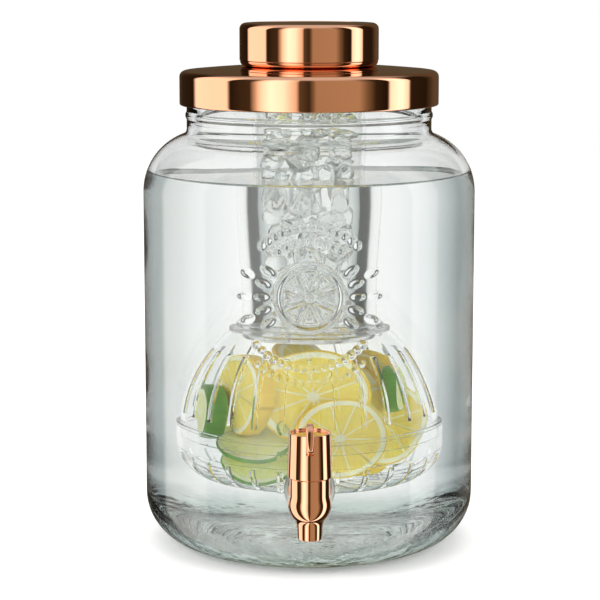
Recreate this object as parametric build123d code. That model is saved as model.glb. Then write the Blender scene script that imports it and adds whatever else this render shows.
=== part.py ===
"""Glass drink dispenser with a lift-off lid, a hanging ice tube, a fruit infuser and a quarter-turn tap.

Units are millimetres. +Z is up, the tap points along -Y, and the origin is the centre of the jar's base.
The jar stands on its base ring. The lid, the ice tube and the infuser hang from the jar's rim as one group.
Each function makes one piece and every piece is written to its own STEP file.
"""

import os
from math import sqrt

from build123d import *

# Jar
jar_radius = 110.0
jar_wall = 5.0
jar_body_height = 236.5
heel_radius = 34.0
inner_heel_radius = 27.0
base_thickness = 9.0
foot_width = 18.0
push_up_depth = 2.5
shoulder_radius = 40.0
shoulder_step = 29.0
neck_fillet = 4.0
neck_height = 31.0
bead_rise = 9.0
bead_half_height = 2.6
bead_bulge = 0.9
lip_round = 1.5

# Lid
sheet = 0.8
lid_gap = 3.8
lid_skirt_drop = 11.3
lid_crown_height = 15.2
lid_dome = 4.4
lid_corner = 4.0
hem_radius = 1.2
seal_flange = 2.2
seal_lip_gap = 0.3
liner_plate = 2.5
liner_plug_depth = 9.0
liner_plug_wall = 2.3
seal_wall = 1.9
liner_gap = 0.3
liner_ribs = 12
liner_rib_width = 1.6

# Ice tube
tube_neck_radius = 39.5
tube_neck_wall = 2.9
tube_neck_rise = 21.8
tube_neck_step = 1.1
tube_taper = 5.0
tube_wall = 2.2
tube_floor = 2.5
tube_flange_lap = 4.5
tube_flange = 3.0
tube_gasket_thickness = 1.2
stop_ring_width = 3.2
stop_ring_height = 2.5

# Collar and cap
collar_width = 5.9
collar_height = 3.4
collar_round = 3.0
collar_notches = 6
thread_gap = 0.1
parting_gap = 0.25
cap_height = 24.4
cap_corner = 4.0
cap_overhang = 0.4
cap_plate = 2.0
cap_plug_depth = 12.0
cap_plug_wall = 2.4
cap_seal_width = 2.2
cap_seal_height = 6.0
cap_seal_gap = 0.3

# Infuser
infuser_floor_gap = 36.0
mouth_clearance = 9.5
infuser_wall = 2.2
bowl_corner = 19.0
band_height = 18.0
band_wall = 1.9
band_lip = 2.5
ledge_width = 1.2
dome_gap = 0.6
dome_height = 64.5
dome_bulge = 5.5
dome_flange = 2.5
dome_flange_lap = 7.3
dome_flange_step = 0.6
socket_gap = 0.8
slot_count = 24
slot_width = 3.0
slot_bottom_rise = 7.0
slot_top_drop = 13.0
floor_slot_start = 24.0
floor_slot_rise = 15.0

# Bayonets
tube_lugs = 3
tube_lug_angle = 24.0
tube_lug_height = 3.6
tube_lug_depth = 2.2
bowl_lugs = 4
bowl_lug_angle = 16.0
bowl_lug_height = 3.0
lug_gap = 0.25
notch_extra_angle = 5.0
infuser_twist = 45.0
bowl_twist = 30.0

# Tap
tap_height = 60.0
tap_reach = 31.0
shank_bore = 4.5
shank_wall = 3.5
shank_hole_gap = 0.6
shank_inside = 21.0
flange_lap = 5.4
flange_thickness = 3.0
pipe_step = 1.5
barrel_step = 1.3
barrel_rise = 15.3
bulb_swell = 0.9
bulb_drop = 2.0
spout_bore = 5.5
spout_tip_wall = 2.0
spout_draft = 0.9
spout_drop = 24.0
spout_root_drop = 9.0
plug_radius = 9.05
plug_gap = 0.05
plug_wall = 3.0
plug_seat_drop = 8.0
turret_wall = 1.9
turret_rise = 32.0
stem_width = 8.0
stem_height = 5.5
seal_section = 1.6
seal_squeeze_gap = 0.02
seal_drop = 0.9
seal_rise = 3.2
retainer_height = 2.0
retainer_gap = 0.1
handle_skirt = 2.6
handle_taper = 1.0
handle_height = 27.7
handle_wall = 1.5
handle_gap = 0.3
handle_recess = 1.4
fin_thickness = 4.8
fin_root = 1.5
fin_peak = 13.0
fin_rise = 8.2
fin_reach = 21.5
fin_drop = 13.0
stop_depth = 1.0
stop_height = 2.5
stop_angle = 20.0
stop_play = 1.0
handle_turn = 90.0

# Tap seals and nut
outer_washer_lap = 2.6
outer_washer_thickness = 3.5
inner_washer_width = 6.0
inner_washer_thickness = 2.6
backing_thickness = 1.4
nut_wall = 4.0
nut_length = 8.0
nut_flange = 1.8
fit_gap = 0.05

# Places worked out from the sizes above
push_up_radius = jar_radius - heel_radius - foot_width
neck_radius = jar_radius - shoulder_step
mouth_radius = neck_radius - jar_wall
shoulder_center = (jar_radius - shoulder_radius, jar_body_height)
fillet_center = (
    neck_radius + neck_fillet,
    jar_body_height
    + sqrt((shoulder_radius + neck_fillet) ** 2 - (neck_radius + neck_fillet - shoulder_center[0]) ** 2),
)
neck_bottom = fillet_center[1]
rim_z = neck_bottom + neck_height - neck_fillet
bead_z = neck_bottom + bead_rise

lid_inner_radius = neck_radius + lid_gap
lid_radius = lid_inner_radius + sheet
lid_bottom = rim_z - lid_skirt_drop
liner_bottom = rim_z + seal_flange
liner_top = liner_bottom + liner_plate
crown_z = rim_z + lid_crown_height
liner_radius = lid_inner_radius - liner_gap
plug_outer_radius = mouth_radius - seal_lip_gap - seal_wall

tube_radius_top = tube_neck_radius - tube_neck_step
tube_radius_bottom = tube_radius_top - tube_taper
tube_flange_radius = tube_neck_radius + tube_flange_lap
tube_neck_bore = tube_neck_radius - tube_neck_wall
tube_flange_top = liner_bottom - tube_gasket_thickness
tube_flange_bottom = tube_flange_top - tube_flange
tube_neck_top = tube_flange_top + tube_neck_rise + tube_gasket_thickness
lid_hole_radius = tube_neck_radius + thread_gap

infuser_radius = mouth_radius - mouth_clearance
infuser_bottom = base_thickness + infuser_floor_gap
band_bottom = infuser_bottom + bowl_corner
band_top = band_bottom + band_height
dome_radius = infuser_radius - band_wall - band_lip - dome_gap
dome_top = band_top + dome_height
flange_top = dome_top + dome_flange
tube_stop_bottom = flange_top + lug_gap
tube_lug_top = dome_top - lug_gap
tube_bottom = tube_lug_top - tube_lug_height - 2.0
socket_radius = tube_radius_bottom + socket_gap
dome_flange_radius = tube_radius_bottom + dome_flange_lap
ledge_z = band_bottom + band_height / 2

tap_y = -(jar_radius + tap_reach)
shank_radius = shank_bore + shank_wall
pipe_radius = shank_radius + pipe_step
flange_radius = shank_radius + flange_lap
outer_washer_radius = flange_radius + outer_washer_lap
inner_washer_radius = shank_radius + inner_washer_width
nut_across_flats = 2 * (shank_radius + nut_wall)
barrel_bore = plug_radius + plug_gap
turret_radius = barrel_bore + turret_wall
handle_radius_bottom = turret_radius + handle_gap + handle_skirt
handle_radius_top = handle_radius_bottom - handle_taper
barrel_radius = handle_radius_bottom - barrel_step
bulb_radius = barrel_radius + bulb_swell
spout_radius_tip = spout_bore + spout_tip_wall
spout_radius_top = spout_radius_tip + spout_draft
handle_bottom = tap_height + barrel_rise
handle_top = handle_bottom + handle_height
turret_top = tap_height + turret_rise
washer_face = -(jar_radius + outer_washer_thickness)
shank_end = -(jar_radius - jar_wall) + shank_inside
shank_hole = shank_radius + shank_hole_gap


def about(center, start, end):
    """An arc of less than half a turn about a centre, from start to end."""
    ax, az = start[0] - center[0], start[1] - center[1]
    bx, bz = end[0] - center[0], end[1] - center[1]
    reach, half = sqrt(ax * ax + az * az), sqrt((ax + bx) ** 2 + (az + bz) ** 2)
    middle = (center[0] + (ax + bx) * reach / half, center[1] + (az + bz) * reach / half)
    return ThreePointArc(start, middle, end)


def path(*steps):
    """Edges through the given (radius, height) points. An edge in the list stands for itself."""
    edges, last = [], None
    for step in steps:
        if isinstance(step, tuple):
            if last is not None and (Vector(last) - Vector(step)).length > 1e-6:
                edges.append(Line(last, step))
            last = step
        else:
            start, end = step @ 0, step @ 1
            if last is not None and (Vector(last) - start).length > 1e-6:
                edges.append(Line(last, (start.X, start.Y)))
            edges.append(step)
            last = (end.X, end.Y)
    return edges


def turned(*steps):
    """A solid of revolution about Z from a closed outline of (radius, height) points and arcs."""
    edges = path(*steps)
    first, last = edges[0] @ 0, edges[-1] @ 1
    if (first - last).length > 1e-6:
        edges.append(Line((last.X, last.Y), (first.X, first.Y)))
    outline = make_face(edges)
    return revolve(Plane.XZ * outline, Axis.Z, 360)


def ring(inner, outer, bottom, top):
    """A plain ring about Z."""
    return turned((inner, bottom), (outer, bottom), (outer, top), (inner, top))


def disc(radius, bottom, top):
    """A plain disc about Z."""
    return Pos(0, 0, bottom) * Cylinder(radius, top - bottom, align=(Align.CENTER, Align.CENTER, Align.MIN))


def sector(inner, outer, bottom, top, angle):
    """A piece of a ring, centred on +X, that spans the given angle."""
    outline = (
        Line((inner, bottom), (outer, bottom))
        + Line((outer, bottom), (outer, top))
        + Line((outer, top), (inner, top))
        + Line((inner, top), (inner, bottom))
    )
    wedge = revolve(Plane.XZ * make_face(outline), Axis.Z, angle)
    return Rot(0, 0, -angle / 2) * wedge


def around(shape, count, first=0.0):
    """Copies of a shape, evenly spaced about Z."""
    return [Rot(0, 0, first + 360.0 * i / count) * shape for i in range(count)]


def along_y(radius, start, end, height):
    """A cylinder along Y between two places, at a height."""
    rod = Cylinder(radius, end - start, align=(Align.CENTER, Align.CENTER, Align.MIN))
    return Pos(0, start, height) * Rot(-90, 0, 0) * rod


def at_tap(shape):
    """Moves a shape made about Z to the tap's turning axis."""
    return Pos(0, tap_y, 0) * shape


def glass_jar():
    """The blown jar: flat base ring with a push-up, round heel, straight side, round shoulder and a beaded neck."""
    reach = shoulder_radius + neck_fillet

    def on_shoulder(radius):
        share = radius / reach
        return (
            shoulder_center[0] + (fillet_center[0] - shoulder_center[0]) * share,
            shoulder_center[1] + (fillet_center[1] - shoulder_center[1]) * share,
        )

    inside = jar_radius - jar_wall
    inner_heel = (inside - inner_heel_radius, base_thickness + inner_heel_radius)
    outer_lip = (neck_radius - lip_round, rim_z - lip_round)
    inner_lip = (mouth_radius + lip_round, rim_z - lip_round)
    body = turned(
        (0, push_up_depth),
        (push_up_radius - push_up_depth, push_up_depth),
        (push_up_radius, 0),
        about((jar_radius - heel_radius, heel_radius), (jar_radius - heel_radius, 0), (jar_radius, heel_radius)),
        about(shoulder_center, (jar_radius, jar_body_height), on_shoulder(shoulder_radius)),
        about(fillet_center, on_shoulder(shoulder_radius), (neck_radius, neck_bottom)),
        ThreePointArc(
            (neck_radius, bead_z - bead_half_height),
            (neck_radius + bead_bulge, bead_z),
            (neck_radius, bead_z + bead_half_height),
        ),
        about(outer_lip, (neck_radius, rim_z - lip_round), (neck_radius - lip_round, rim_z)),
        about(inner_lip, (mouth_radius + lip_round, rim_z), (mouth_radius, rim_z - lip_round)),
        about(fillet_center, (mouth_radius, neck_bottom), on_shoulder(shoulder_radius - jar_wall)),
        about(shoulder_center, on_shoulder(shoulder_radius - jar_wall), (inside, jar_body_height)),
        about(inner_heel, (inside, inner_heel[1]), (inner_heel[0], base_thickness)),
        (0, base_thickness),
    )
    return body - along_y(shank_hole, -jar_radius - heel_radius, -inside + heel_radius, tap_height)


def crown(radius):
    """How high the lid's domed top is at a radius."""
    return crown_z - lid_dome * (radius / lid_radius) ** 2


def lid_underside(radius):
    """How high the underside of the lid's top is at a radius."""
    return crown(radius) - sheet


def lid_shell():
    """The spun metal lid: a low crown with a straight skirt, a rolled hem and a hole for the ice tube's neck."""
    corner = (lid_radius - lid_corner, crown(lid_radius - lid_corner) - lid_corner)
    middle_radius = (lid_radius - lid_corner + lid_hole_radius) / 2
    outer = ThreePointArc(
        (lid_hole_radius, crown(lid_hole_radius)),
        (middle_radius, crown(middle_radius)),
        (corner[0], corner[1] + lid_corner),
    )
    inner = ThreePointArc(
        (corner[0], corner[1] + lid_corner - sheet),
        (middle_radius, crown(middle_radius) - sheet),
        (lid_hole_radius, crown(lid_hole_radius) - sheet),
    )
    shell = turned(
        outer,
        about(corner, (corner[0], corner[1] + lid_corner), (lid_radius, corner[1])),
        (lid_radius, lid_bottom + hem_radius),
        (lid_inner_radius, lid_bottom + hem_radius),
        about(corner, (lid_inner_radius, corner[1]), (corner[0], corner[1] + lid_corner - sheet)),
        inner,
    )
    hem_center = lid_radius - hem_radius
    hem = revolve(Plane.XZ * (Pos(hem_center, lid_bottom + hem_radius) * Circle(hem_radius)), Axis.Z, 360)
    return shell + hem


def lid_liner():
    """The moulded insert under the crown: a plate, a plug ring that centres the lid in the mouth and a hub ring."""
    hub_outer = tube_flange_radius
    hub_top = lid_underside(hub_outer) - liner_gap
    plate = ring(lid_hole_radius, liner_radius - 1.2, liner_bottom, liner_top)
    plug = ring(plug_outer_radius - liner_plug_wall, plug_outer_radius, rim_z - liner_plug_depth, liner_bottom)
    hub = ring(lid_hole_radius, hub_outer, liner_top, hub_top)
    rib_end = lid_inner_radius - lid_corner
    rib_top = lid_underside(rib_end) - liner_gap
    rib = Pos((hub_outer + rib_end) / 2, 0, (liner_top + rib_top) / 2) * Box(
        rib_end - hub_outer + 0.4, liner_rib_width, rib_top - liner_top + 0.4
    )
    return plate + plug + hub + around(rib, liner_ribs)


def lid_seal():
    """The soft ring that closes the mouth: a flange on the rim and three lips inside the neck."""
    lip_radius = mouth_radius - seal_lip_gap
    inner = plug_outer_radius + fit_gap
    sleeve_bottom = rim_z - liner_plug_depth + 1.5
    sleeve = ring(inner, lip_radius - 0.7, sleeve_bottom, liner_bottom)
    flange = ring(inner, neck_radius - lip_round, rim_z, liner_bottom)
    lips = [
        turned(
            (lip_radius - 0.8, sleeve_bottom + 2.2 * i),
            (lip_radius, sleeve_bottom + 2.2 * i + 0.8),
            (lip_radius - 0.8, sleeve_bottom + 2.2 * i + 1.6),
        )
        for i in range(3)
    ]
    return sleeve + flange + lips


def tube_gasket():
    """The flat ring that seals the ice tube's flange against the liner."""
    return ring(tube_neck_radius + fit_gap, tube_flange_radius, tube_flange_top, liner_bottom)


def tube_outer_radius(z):
    """The ice tube's outer radius, which tapers towards its floor."""
    share = (z - tube_bottom) / (tube_flange_bottom - tube_bottom)
    return tube_radius_bottom + (tube_radius_top - tube_radius_bottom) * share


def ice_tube():
    """The clear tube for ice: a neck that passes through the lid, a flange, a tapered body, a stop ring and lugs."""
    floor_round = 3.0
    bottom_center = (tube_outer_radius(tube_bottom) - floor_round, tube_bottom + floor_round)
    body = turned(
        (0, tube_bottom),
        about(
            bottom_center,
            (bottom_center[0], tube_bottom),
            (tube_radius_bottom, bottom_center[1]),
        ),
        (tube_radius_top, tube_flange_bottom),
        (tube_flange_radius, tube_flange_bottom),
        (tube_flange_radius, tube_flange_top),
        (tube_neck_radius, tube_flange_top),
        (tube_neck_radius, tube_neck_top),
        (tube_neck_bore, tube_neck_top),
        (tube_neck_bore, tube_flange_top),
        (tube_radius_top - tube_wall, tube_flange_bottom - tube_wall),
        (tube_radius_bottom - tube_wall, tube_bottom + tube_floor),
        (0, tube_bottom + tube_floor),
    )
    stop_inner = tube_outer_radius(tube_stop_bottom) - 1.0
    stop = ring(
        stop_inner,
        tube_outer_radius(tube_stop_bottom) + stop_ring_width,
        tube_stop_bottom,
        tube_stop_bottom + stop_ring_height,
    )
    lug = sector(
        tube_radius_bottom - 1.0,
        socket_radius + tube_lug_depth,
        tube_lug_top - tube_lug_height,
        tube_lug_top,
        tube_lug_angle,
    )
    return body + stop + around(lug, tube_lugs)


def lid_collar():
    """The threaded ring that clamps the lid on the ice tube's neck, with notches for a spanner."""
    bottom = lid_underside(lid_hole_radius) + sheet + 0.05
    top = bottom + collar_height
    inner = tube_neck_radius + thread_gap
    outer = inner + collar_width
    body = turned(
        (inner, bottom),
        about((outer - collar_round, bottom + collar_round), (outer - collar_round, bottom), (outer, bottom + collar_round)),
        (outer, top),
        (inner, top),
    )
    notch = Pos(inner + 1.2, 0, top) * Box(4.0, 5.0, 2.4)
    return body - around(notch, collar_notches)


def cap_bottom():
    """How high the cap's lower edge is: just above the collar."""
    return lid_underside(lid_hole_radius) + sheet + 0.05 + collar_height + parting_gap


def cap_radius():
    """The cap's outer radius, a little more than the collar's."""
    return tube_neck_radius + thread_gap + collar_width + cap_overhang


def cap_shell():
    """The spun metal cap: a drum with a rounded top edge, open below."""
    bottom, outer = cap_bottom(), cap_radius()
    top = bottom + cap_height
    center = (outer - cap_corner, top - cap_corner)
    inner = outer - sheet
    return turned(
        (0, top),
        about(center, (center[0], top), (outer, center[1])),
        (outer, bottom),
        (inner, bottom),
        about(center, (inner, center[1]), (center[0], top - sheet)),
        (0, top - sheet),
    )


def cap_insert():
    """The moulded insert of the cap: a skirt that grips the shell, a plate that rests on the neck and a hollow plug."""
    skirt_outer = cap_radius() - sheet - fit_gap
    plate_bottom = tube_neck_top
    plug_outer = tube_neck_bore - cap_seal_gap - cap_seal_width
    plug_bottom = plate_bottom - cap_plug_depth
    skirt_top = cap_bottom() + cap_height - cap_corner
    shape = turned(
        (0, plug_bottom),
        (plug_outer, plug_bottom),
        (plug_outer, plate_bottom),
        (skirt_outer, plate_bottom),
        (skirt_outer, skirt_top),
        (skirt_outer - cap_plate, skirt_top),
        (skirt_outer - cap_plate, plate_bottom + cap_plate),
        (plug_outer - cap_plug_wall, plate_bottom + cap_plate),
        (plug_outer - cap_plug_wall, plug_bottom + cap_plate),
        (0, plug_bottom + cap_plate),
    )
    groove_top = plate_bottom - 2.0
    groove = ring(plug_outer - 0.8, plug_outer + 1.0, groove_top - cap_seal_height, groove_top)
    return shape - groove


def cap_seal():
    """The soft ring round the cap's plug, with two lips."""
    plug_outer = tube_neck_bore - cap_seal_gap - cap_seal_width
    top = tube_neck_top - 2.0
    bottom = top - cap_seal_height
    outer = plug_outer + cap_seal_width
    return turned(
        (plug_outer - 0.75, bottom + fit_gap),
        (outer - 0.9, bottom + fit_gap),
        (outer, bottom + 1.5),
        (outer - 0.9, bottom + 3.0),
        (outer, bottom + 4.5),
        (outer - 0.9, top - fit_gap),
        (plug_outer - 0.75, top - fit_gap),
    )


def infuser_dome():
    """The upper half of the fruit infuser: a slotted dome with a notched flange that hangs on the ice tube's lugs."""
    top_radius = dome_flange_radius - dome_flange_step
    drop = dome_radius - top_radius
    chord = sqrt(dome_height**2 + drop**2)
    curve = chord**2 / (8 * dome_bulge) + dome_bulge / 2
    inset = curve - dome_bulge
    center = (
        (dome_radius + top_radius) / 2 - inset * dome_height / chord,
        (band_top + dome_top) / 2 - inset * drop / chord,
    )

    def on_dome(offset, z):
        return center[0] + sqrt((curve - offset) ** 2 - (z - center[1]) ** 2)

    inner_top = (on_dome(infuser_wall, dome_top), dome_top)
    inner_foot = (on_dome(infuser_wall, band_top), band_top)
    skirt_bottom = ledge_z + 0.1
    shell = turned(
        (dome_radius - infuser_wall, skirt_bottom),
        (dome_radius, skirt_bottom),
        about(center, (dome_radius, band_top), (top_radius, dome_top)),
        (dome_flange_radius, dome_top),
        (dome_flange_radius, flange_top),
        (socket_radius, flange_top),
        (socket_radius, dome_top),
        about(center, inner_top, inner_foot),
    )
    reach = dome_radius + 5.0
    slot_bottom = band_top + slot_bottom_rise
    slot_top = dome_top - slot_top_drop
    slot = Pos(reach / 2 + dome_flange_radius / 2, 0, (slot_bottom + slot_top) / 2) * Box(
        reach - dome_flange_radius + 8.0, slot_width, slot_top - slot_bottom
    )
    notch = sector(
        socket_radius - 1.0,
        socket_radius + tube_lug_depth + lug_gap,
        dome_top - 1.0,
        flange_top + 1.0,
        tube_lug_angle + notch_extra_angle,
    )
    lug = sector(
        dome_radius - 1.0,
        infuser_radius - band_wall - lug_gap,
        band_top - band_lip - lug_gap - bowl_lug_height,
        band_top - band_lip - lug_gap,
        bowl_lug_angle,
    )
    shell = shell - around(slot, slot_count) - around(notch, tube_lugs, -infuser_twist)
    return shell + around(lug, bowl_lugs)


def infuser_bowl():
    """The lower half of the fruit infuser: a slotted bowl whose band locks on the dome's lugs by a short twist."""
    inner_band = infuser_radius - band_wall
    lip_inner = dome_radius + dome_gap
    ledge_inner = dome_radius - ledge_width
    corner = (infuser_radius - bowl_corner, band_bottom)
    inner_corner_radius = bowl_corner - infuser_wall
    inner_wall = min(ledge_inner, infuser_radius - infuser_wall)
    inner_corner = (inner_wall - inner_corner_radius, infuser_bottom + infuser_wall + inner_corner_radius)
    body = turned(
        (0, infuser_bottom),
        about(corner, (corner[0], infuser_bottom), (infuser_radius, band_bottom)),
        (infuser_radius, band_top),
        (lip_inner, band_top),
        (lip_inner, band_top - band_lip),
        (inner_band, band_top - band_lip),
        (inner_band, ledge_z),
        (inner_wall, ledge_z),
        about(inner_corner, (inner_wall, inner_corner[1]), (inner_corner[0], infuser_bottom + infuser_wall)),
        (0, infuser_bottom + infuser_wall),
    )
    notch = sector(
        lip_inner - 1.0,
        inner_band,
        band_top - band_lip - 0.5,
        band_top + 1.0,
        bowl_lug_angle + notch_extra_angle,
    )
    slot_top = infuser_bottom + floor_slot_rise
    slot_length = infuser_radius + 5.0 - floor_slot_start
    slot = Pos(floor_slot_start + slot_length / 2, 0, (infuser_bottom - 2.0 + slot_top) / 2) * Box(
        slot_length, slot_width, slot_top - infuser_bottom + 2.0
    )
    return body - around(notch, bowl_lugs, -bowl_twist) - around(slot, slot_count)


def tap_body():
    """The tap's moulded body: a threaded shank, a flange, a short pipe, the valve barrel and the spout."""
    bulb_z = tap_height - bulb_drop
    spout_tip = tap_height - spout_drop
    spout_root = tap_height - spout_root_drop
    spout = turned((0, spout_tip), (spout_radius_tip, spout_tip), (spout_radius_top, spout_root), (0, spout_root))
    barrel = disc(barrel_radius, bulb_z, handle_bottom - handle_gap)
    turret = disc(turret_radius, bulb_z, turret_top)
    shoulder = handle_bottom - handle_gap
    stop = Rot(0, 0, 90) * sector(
        turret_radius - 1.0, turret_radius + stop_depth, shoulder - 1.0, shoulder + stop_height, stop_angle
    )
    upright = at_tap(Pos(0, 0, bulb_z) * Sphere(bulb_radius) + spout + barrel + turret + stop)
    pipe = along_y(pipe_radius, tap_y, washer_face, tap_height)
    flange = along_y(flange_radius, washer_face - flange_thickness, washer_face, tap_height)
    shank = along_y(shank_radius, washer_face, shank_end, tap_height)
    seat = tap_height - plug_seat_drop
    bore = at_tap(disc(barrel_bore, seat, turret_top + 1.0))
    outlet = at_tap(disc(spout_bore, spout_tip - 1.0, seat))
    inlet = along_y(shank_bore, tap_y, shank_end + 1.0, tap_height)
    return upright + pipe + flange + shank - bore - outlet - inlet


def tap_plug():
    """The valve plug: a hollow barrel with one side port, two seal grooves and a square stem for the handle."""
    seat = tap_height - plug_seat_drop + 0.1
    shoulder = turret_top - retainer_height - retainer_gap
    barrel = disc(plug_radius, seat, shoulder)
    stem = Pos(0, 0, shoulder) * Box(
        stem_width, stem_width, turret_top + stem_height - shoulder, align=(Align.CENTER, Align.CENTER, Align.MIN)
    )
    hollow = disc(plug_radius - plug_wall, seat - 1.0, tap_height + shank_bore + 2.0)
    port = Pos(plug_radius / 2, 0, tap_height) * Rot(0, 90, 0) * Cylinder(shank_bore, plug_radius + 1.0)
    grooves = [
        ring(plug_radius - seal_section, plug_radius + 1.0, z, z + seal_section)
        for z in plug_seal_heights()
    ]
    return at_tap(barrel + stem - hollow - port - grooves)


def plug_seal_heights():
    """How high the lower sides of the two plug seals are: just under and well over the port."""
    lower = tap_height - shank_bore - seal_section - seal_drop
    upper = tap_height + shank_bore + seal_rise
    return lower, upper


def plug_seal(bottom):
    """One soft ring in a groove of the plug."""
    return at_tap(
        ring(
            plug_radius - seal_section + seal_squeeze_gap,
            plug_radius,
            bottom + seal_squeeze_gap,
            bottom + seal_section - seal_squeeze_gap,
        )
    )


def plug_retainer():
    """The ring pressed into the barrel's mouth, which keeps the plug in. The stem turns inside it."""
    stem_reach = stem_width / 2 * sqrt(2) + 0.3
    return at_tap(ring(stem_reach, barrel_bore - 0.01, turret_top - retainer_height, turret_top))


def tap_handle():
    """The turning handle: a conical skirt over the barrel, a recessed top and a thumb fin that points forward."""
    skirt_bottom = handle_bottom
    recess_floor = handle_top - handle_recess
    inner_top = turret_top + stem_height + 0.3
    skirt = turned(
        (turret_radius + handle_gap, skirt_bottom),
        (handle_radius_bottom, skirt_bottom),
        (handle_radius_top, handle_top),
        (handle_radius_top - handle_wall, handle_top),
        (handle_radius_top - handle_wall, recess_floor),
        (0, recess_floor),
        (0, recess_floor - handle_wall),
        (turret_radius + handle_gap, recess_floor - handle_wall),
    )
    hub = disc(stem_width * 0.9, turret_top + 0.3, recess_floor - handle_wall)
    socket_width = stem_width + 2 * fit_gap
    socket = Pos(0, 0, turret_top) * Box(
        socket_width, socket_width, inner_top - turret_top, align=(Align.CENTER, Align.CENTER, Align.MIN)
    )
    stop_room = Rot(0, 0, 90 - handle_turn / 2) * sector(
        turret_radius,
        turret_radius + stop_depth + handle_gap,
        skirt_bottom - 1.0,
        skirt_bottom + stop_height,
        handle_turn + stop_angle + 2 * stop_play,
    )
    return at_tap(skirt + hub + thumb_fin(recess_floor - 0.5) - socket - stop_room)


def thumb_fin(floor):
    """The handle's thumb fin: a thin blade from the middle of the recess, over the front rim and down the front."""
    peak = handle_top + fin_rise
    foot = (handle_radius_top - handle_wall / 2, handle_top - fin_drop)
    nose = (fin_reach, handle_top + 0.5)
    profile = path(
        (fin_root, floor),
        ThreePointArc((fin_root, floor), ((fin_root + fin_peak) / 2 - 2.0, peak - 2.6), (fin_peak, peak)),
        ThreePointArc((fin_peak, peak), (fin_reach - 1.8, peak - 2.2), nose),
        ThreePointArc(nose, ((nose[0] + foot[0]) / 2 + 1.5, handle_top - fin_drop / 2), foot),
        (foot[0], floor),
    )
    profile.append(Line((foot[0], floor), (fin_root, floor)))
    blade = extrude(Plane.YZ * make_face(profile), fin_thickness / 2, both=True)
    return Rot(0, 0, 180) * blade


def outer_washer():
    """The soft washer between the tap's flange and the jar, cut to the jar's curve."""
    body = along_y(outer_washer_radius, washer_face, -jar_radius + 2.0, tap_height)
    hole = along_y(shank_radius + fit_gap, washer_face - 1.0, -jar_radius + 3.0, tap_height)
    jar = disc(jar_radius + fit_gap, tap_height - 2 * outer_washer_radius, tap_height + 2 * outer_washer_radius)
    return body - hole - jar


def inner_washer():
    """The soft washer inside the jar, cut to the jar's inner curve."""
    wall = -(jar_radius - jar_wall)
    body = along_y(inner_washer_radius, wall - 2.0, wall + inner_washer_thickness, tap_height)
    hole = along_y(shank_radius + fit_gap, wall - 3.0, wall + inner_washer_thickness + 1.0, tap_height)
    room = disc(-wall - fit_gap, tap_height - 2 * inner_washer_radius, tap_height + 2 * inner_washer_radius)
    return (body & room) - hole


def backing_washer():
    """The hard washer between the soft one and the nut."""
    start = -(jar_radius - jar_wall) + inner_washer_thickness
    end = start + backing_thickness
    hole = along_y(shank_radius + fit_gap, start - 1.0, end + 1.0, tap_height)
    return along_y(inner_washer_radius, start, end, tap_height) - hole


def tap_nut():
    """The flanged hex nut that draws the tap tight against the jar."""
    start = -(jar_radius - jar_wall) + inner_washer_thickness + backing_thickness
    hexagon = extrude(RegularPolygon(nut_across_flats / 2, 6, major_radius=False), nut_length)
    body = Pos(0, start, tap_height) * Rot(-90, 0, 0) * hexagon
    flange = along_y(inner_washer_radius, start, start + nut_flange, tap_height)
    hole = along_y(shank_radius + fit_gap, start - 1.0, start + nut_length + 1.0, tap_height)
    return body + flange - hole


pieces = {
    "glass_jar": glass_jar,
    "lid_shell": lid_shell,
    "lid_liner": lid_liner,
    "lid_seal": lid_seal,
    "lid_collar": lid_collar,
    "tube_gasket": tube_gasket,
    "ice_tube": ice_tube,
    "cap_shell": cap_shell,
    "cap_insert": cap_insert,
    "cap_seal": cap_seal,
    "infuser_dome": infuser_dome,
    "infuser_bowl": infuser_bowl,
    "tap_body": tap_body,
    "tap_plug": tap_plug,
    "plug_seal_lower": lambda: plug_seal(plug_seal_heights()[0]),
    "plug_seal_upper": lambda: plug_seal(plug_seal_heights()[1]),
    "plug_retainer": plug_retainer,
    "tap_handle": tap_handle,
    "outer_washer": outer_washer,
    "inner_washer": inner_washer,
    "backing_washer": backing_washer,
    "tap_nut": tap_nut,
}

os.makedirs("parts", exist_ok=True)
for name, make in pieces.items():
    export_step(make(), f"parts/{name}.step")
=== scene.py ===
"""The looks of a glass drink dispenser: a clear jar, copper-coloured lid, cap and tap, an ice tube and an
infuser.

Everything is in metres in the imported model's frame: +Z is up and the tap points along -Y. Sizes that
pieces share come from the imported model's boxes, and the rest are the fields of each sub-assembly. Round
pieces are grids of points, so that curved glass and bright metal stay smooth. The drink, the ice and the
fruit are contents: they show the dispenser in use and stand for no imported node.
"""
import logging
import math
from collections.abc import Sequence
from dataclasses import dataclass
from enum import Enum

import bmesh
import bpy
import numpy as np
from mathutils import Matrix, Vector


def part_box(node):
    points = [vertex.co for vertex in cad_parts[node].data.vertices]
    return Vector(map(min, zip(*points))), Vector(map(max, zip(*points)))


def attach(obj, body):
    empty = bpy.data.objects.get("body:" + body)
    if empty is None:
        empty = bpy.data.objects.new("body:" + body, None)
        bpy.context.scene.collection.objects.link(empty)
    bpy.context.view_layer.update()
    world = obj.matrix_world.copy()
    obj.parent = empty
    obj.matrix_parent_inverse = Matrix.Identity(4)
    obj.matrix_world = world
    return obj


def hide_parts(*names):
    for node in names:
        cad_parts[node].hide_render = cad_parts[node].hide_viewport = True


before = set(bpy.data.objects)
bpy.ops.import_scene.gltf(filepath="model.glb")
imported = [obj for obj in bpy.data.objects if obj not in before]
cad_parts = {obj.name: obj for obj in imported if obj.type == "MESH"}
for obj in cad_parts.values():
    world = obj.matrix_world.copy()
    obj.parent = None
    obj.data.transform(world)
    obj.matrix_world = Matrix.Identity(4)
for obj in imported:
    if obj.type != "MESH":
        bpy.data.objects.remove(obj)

logging.basicConfig(level=logging.INFO, format="%(message)s")
log = logging.getLogger("dispenser")

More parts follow.
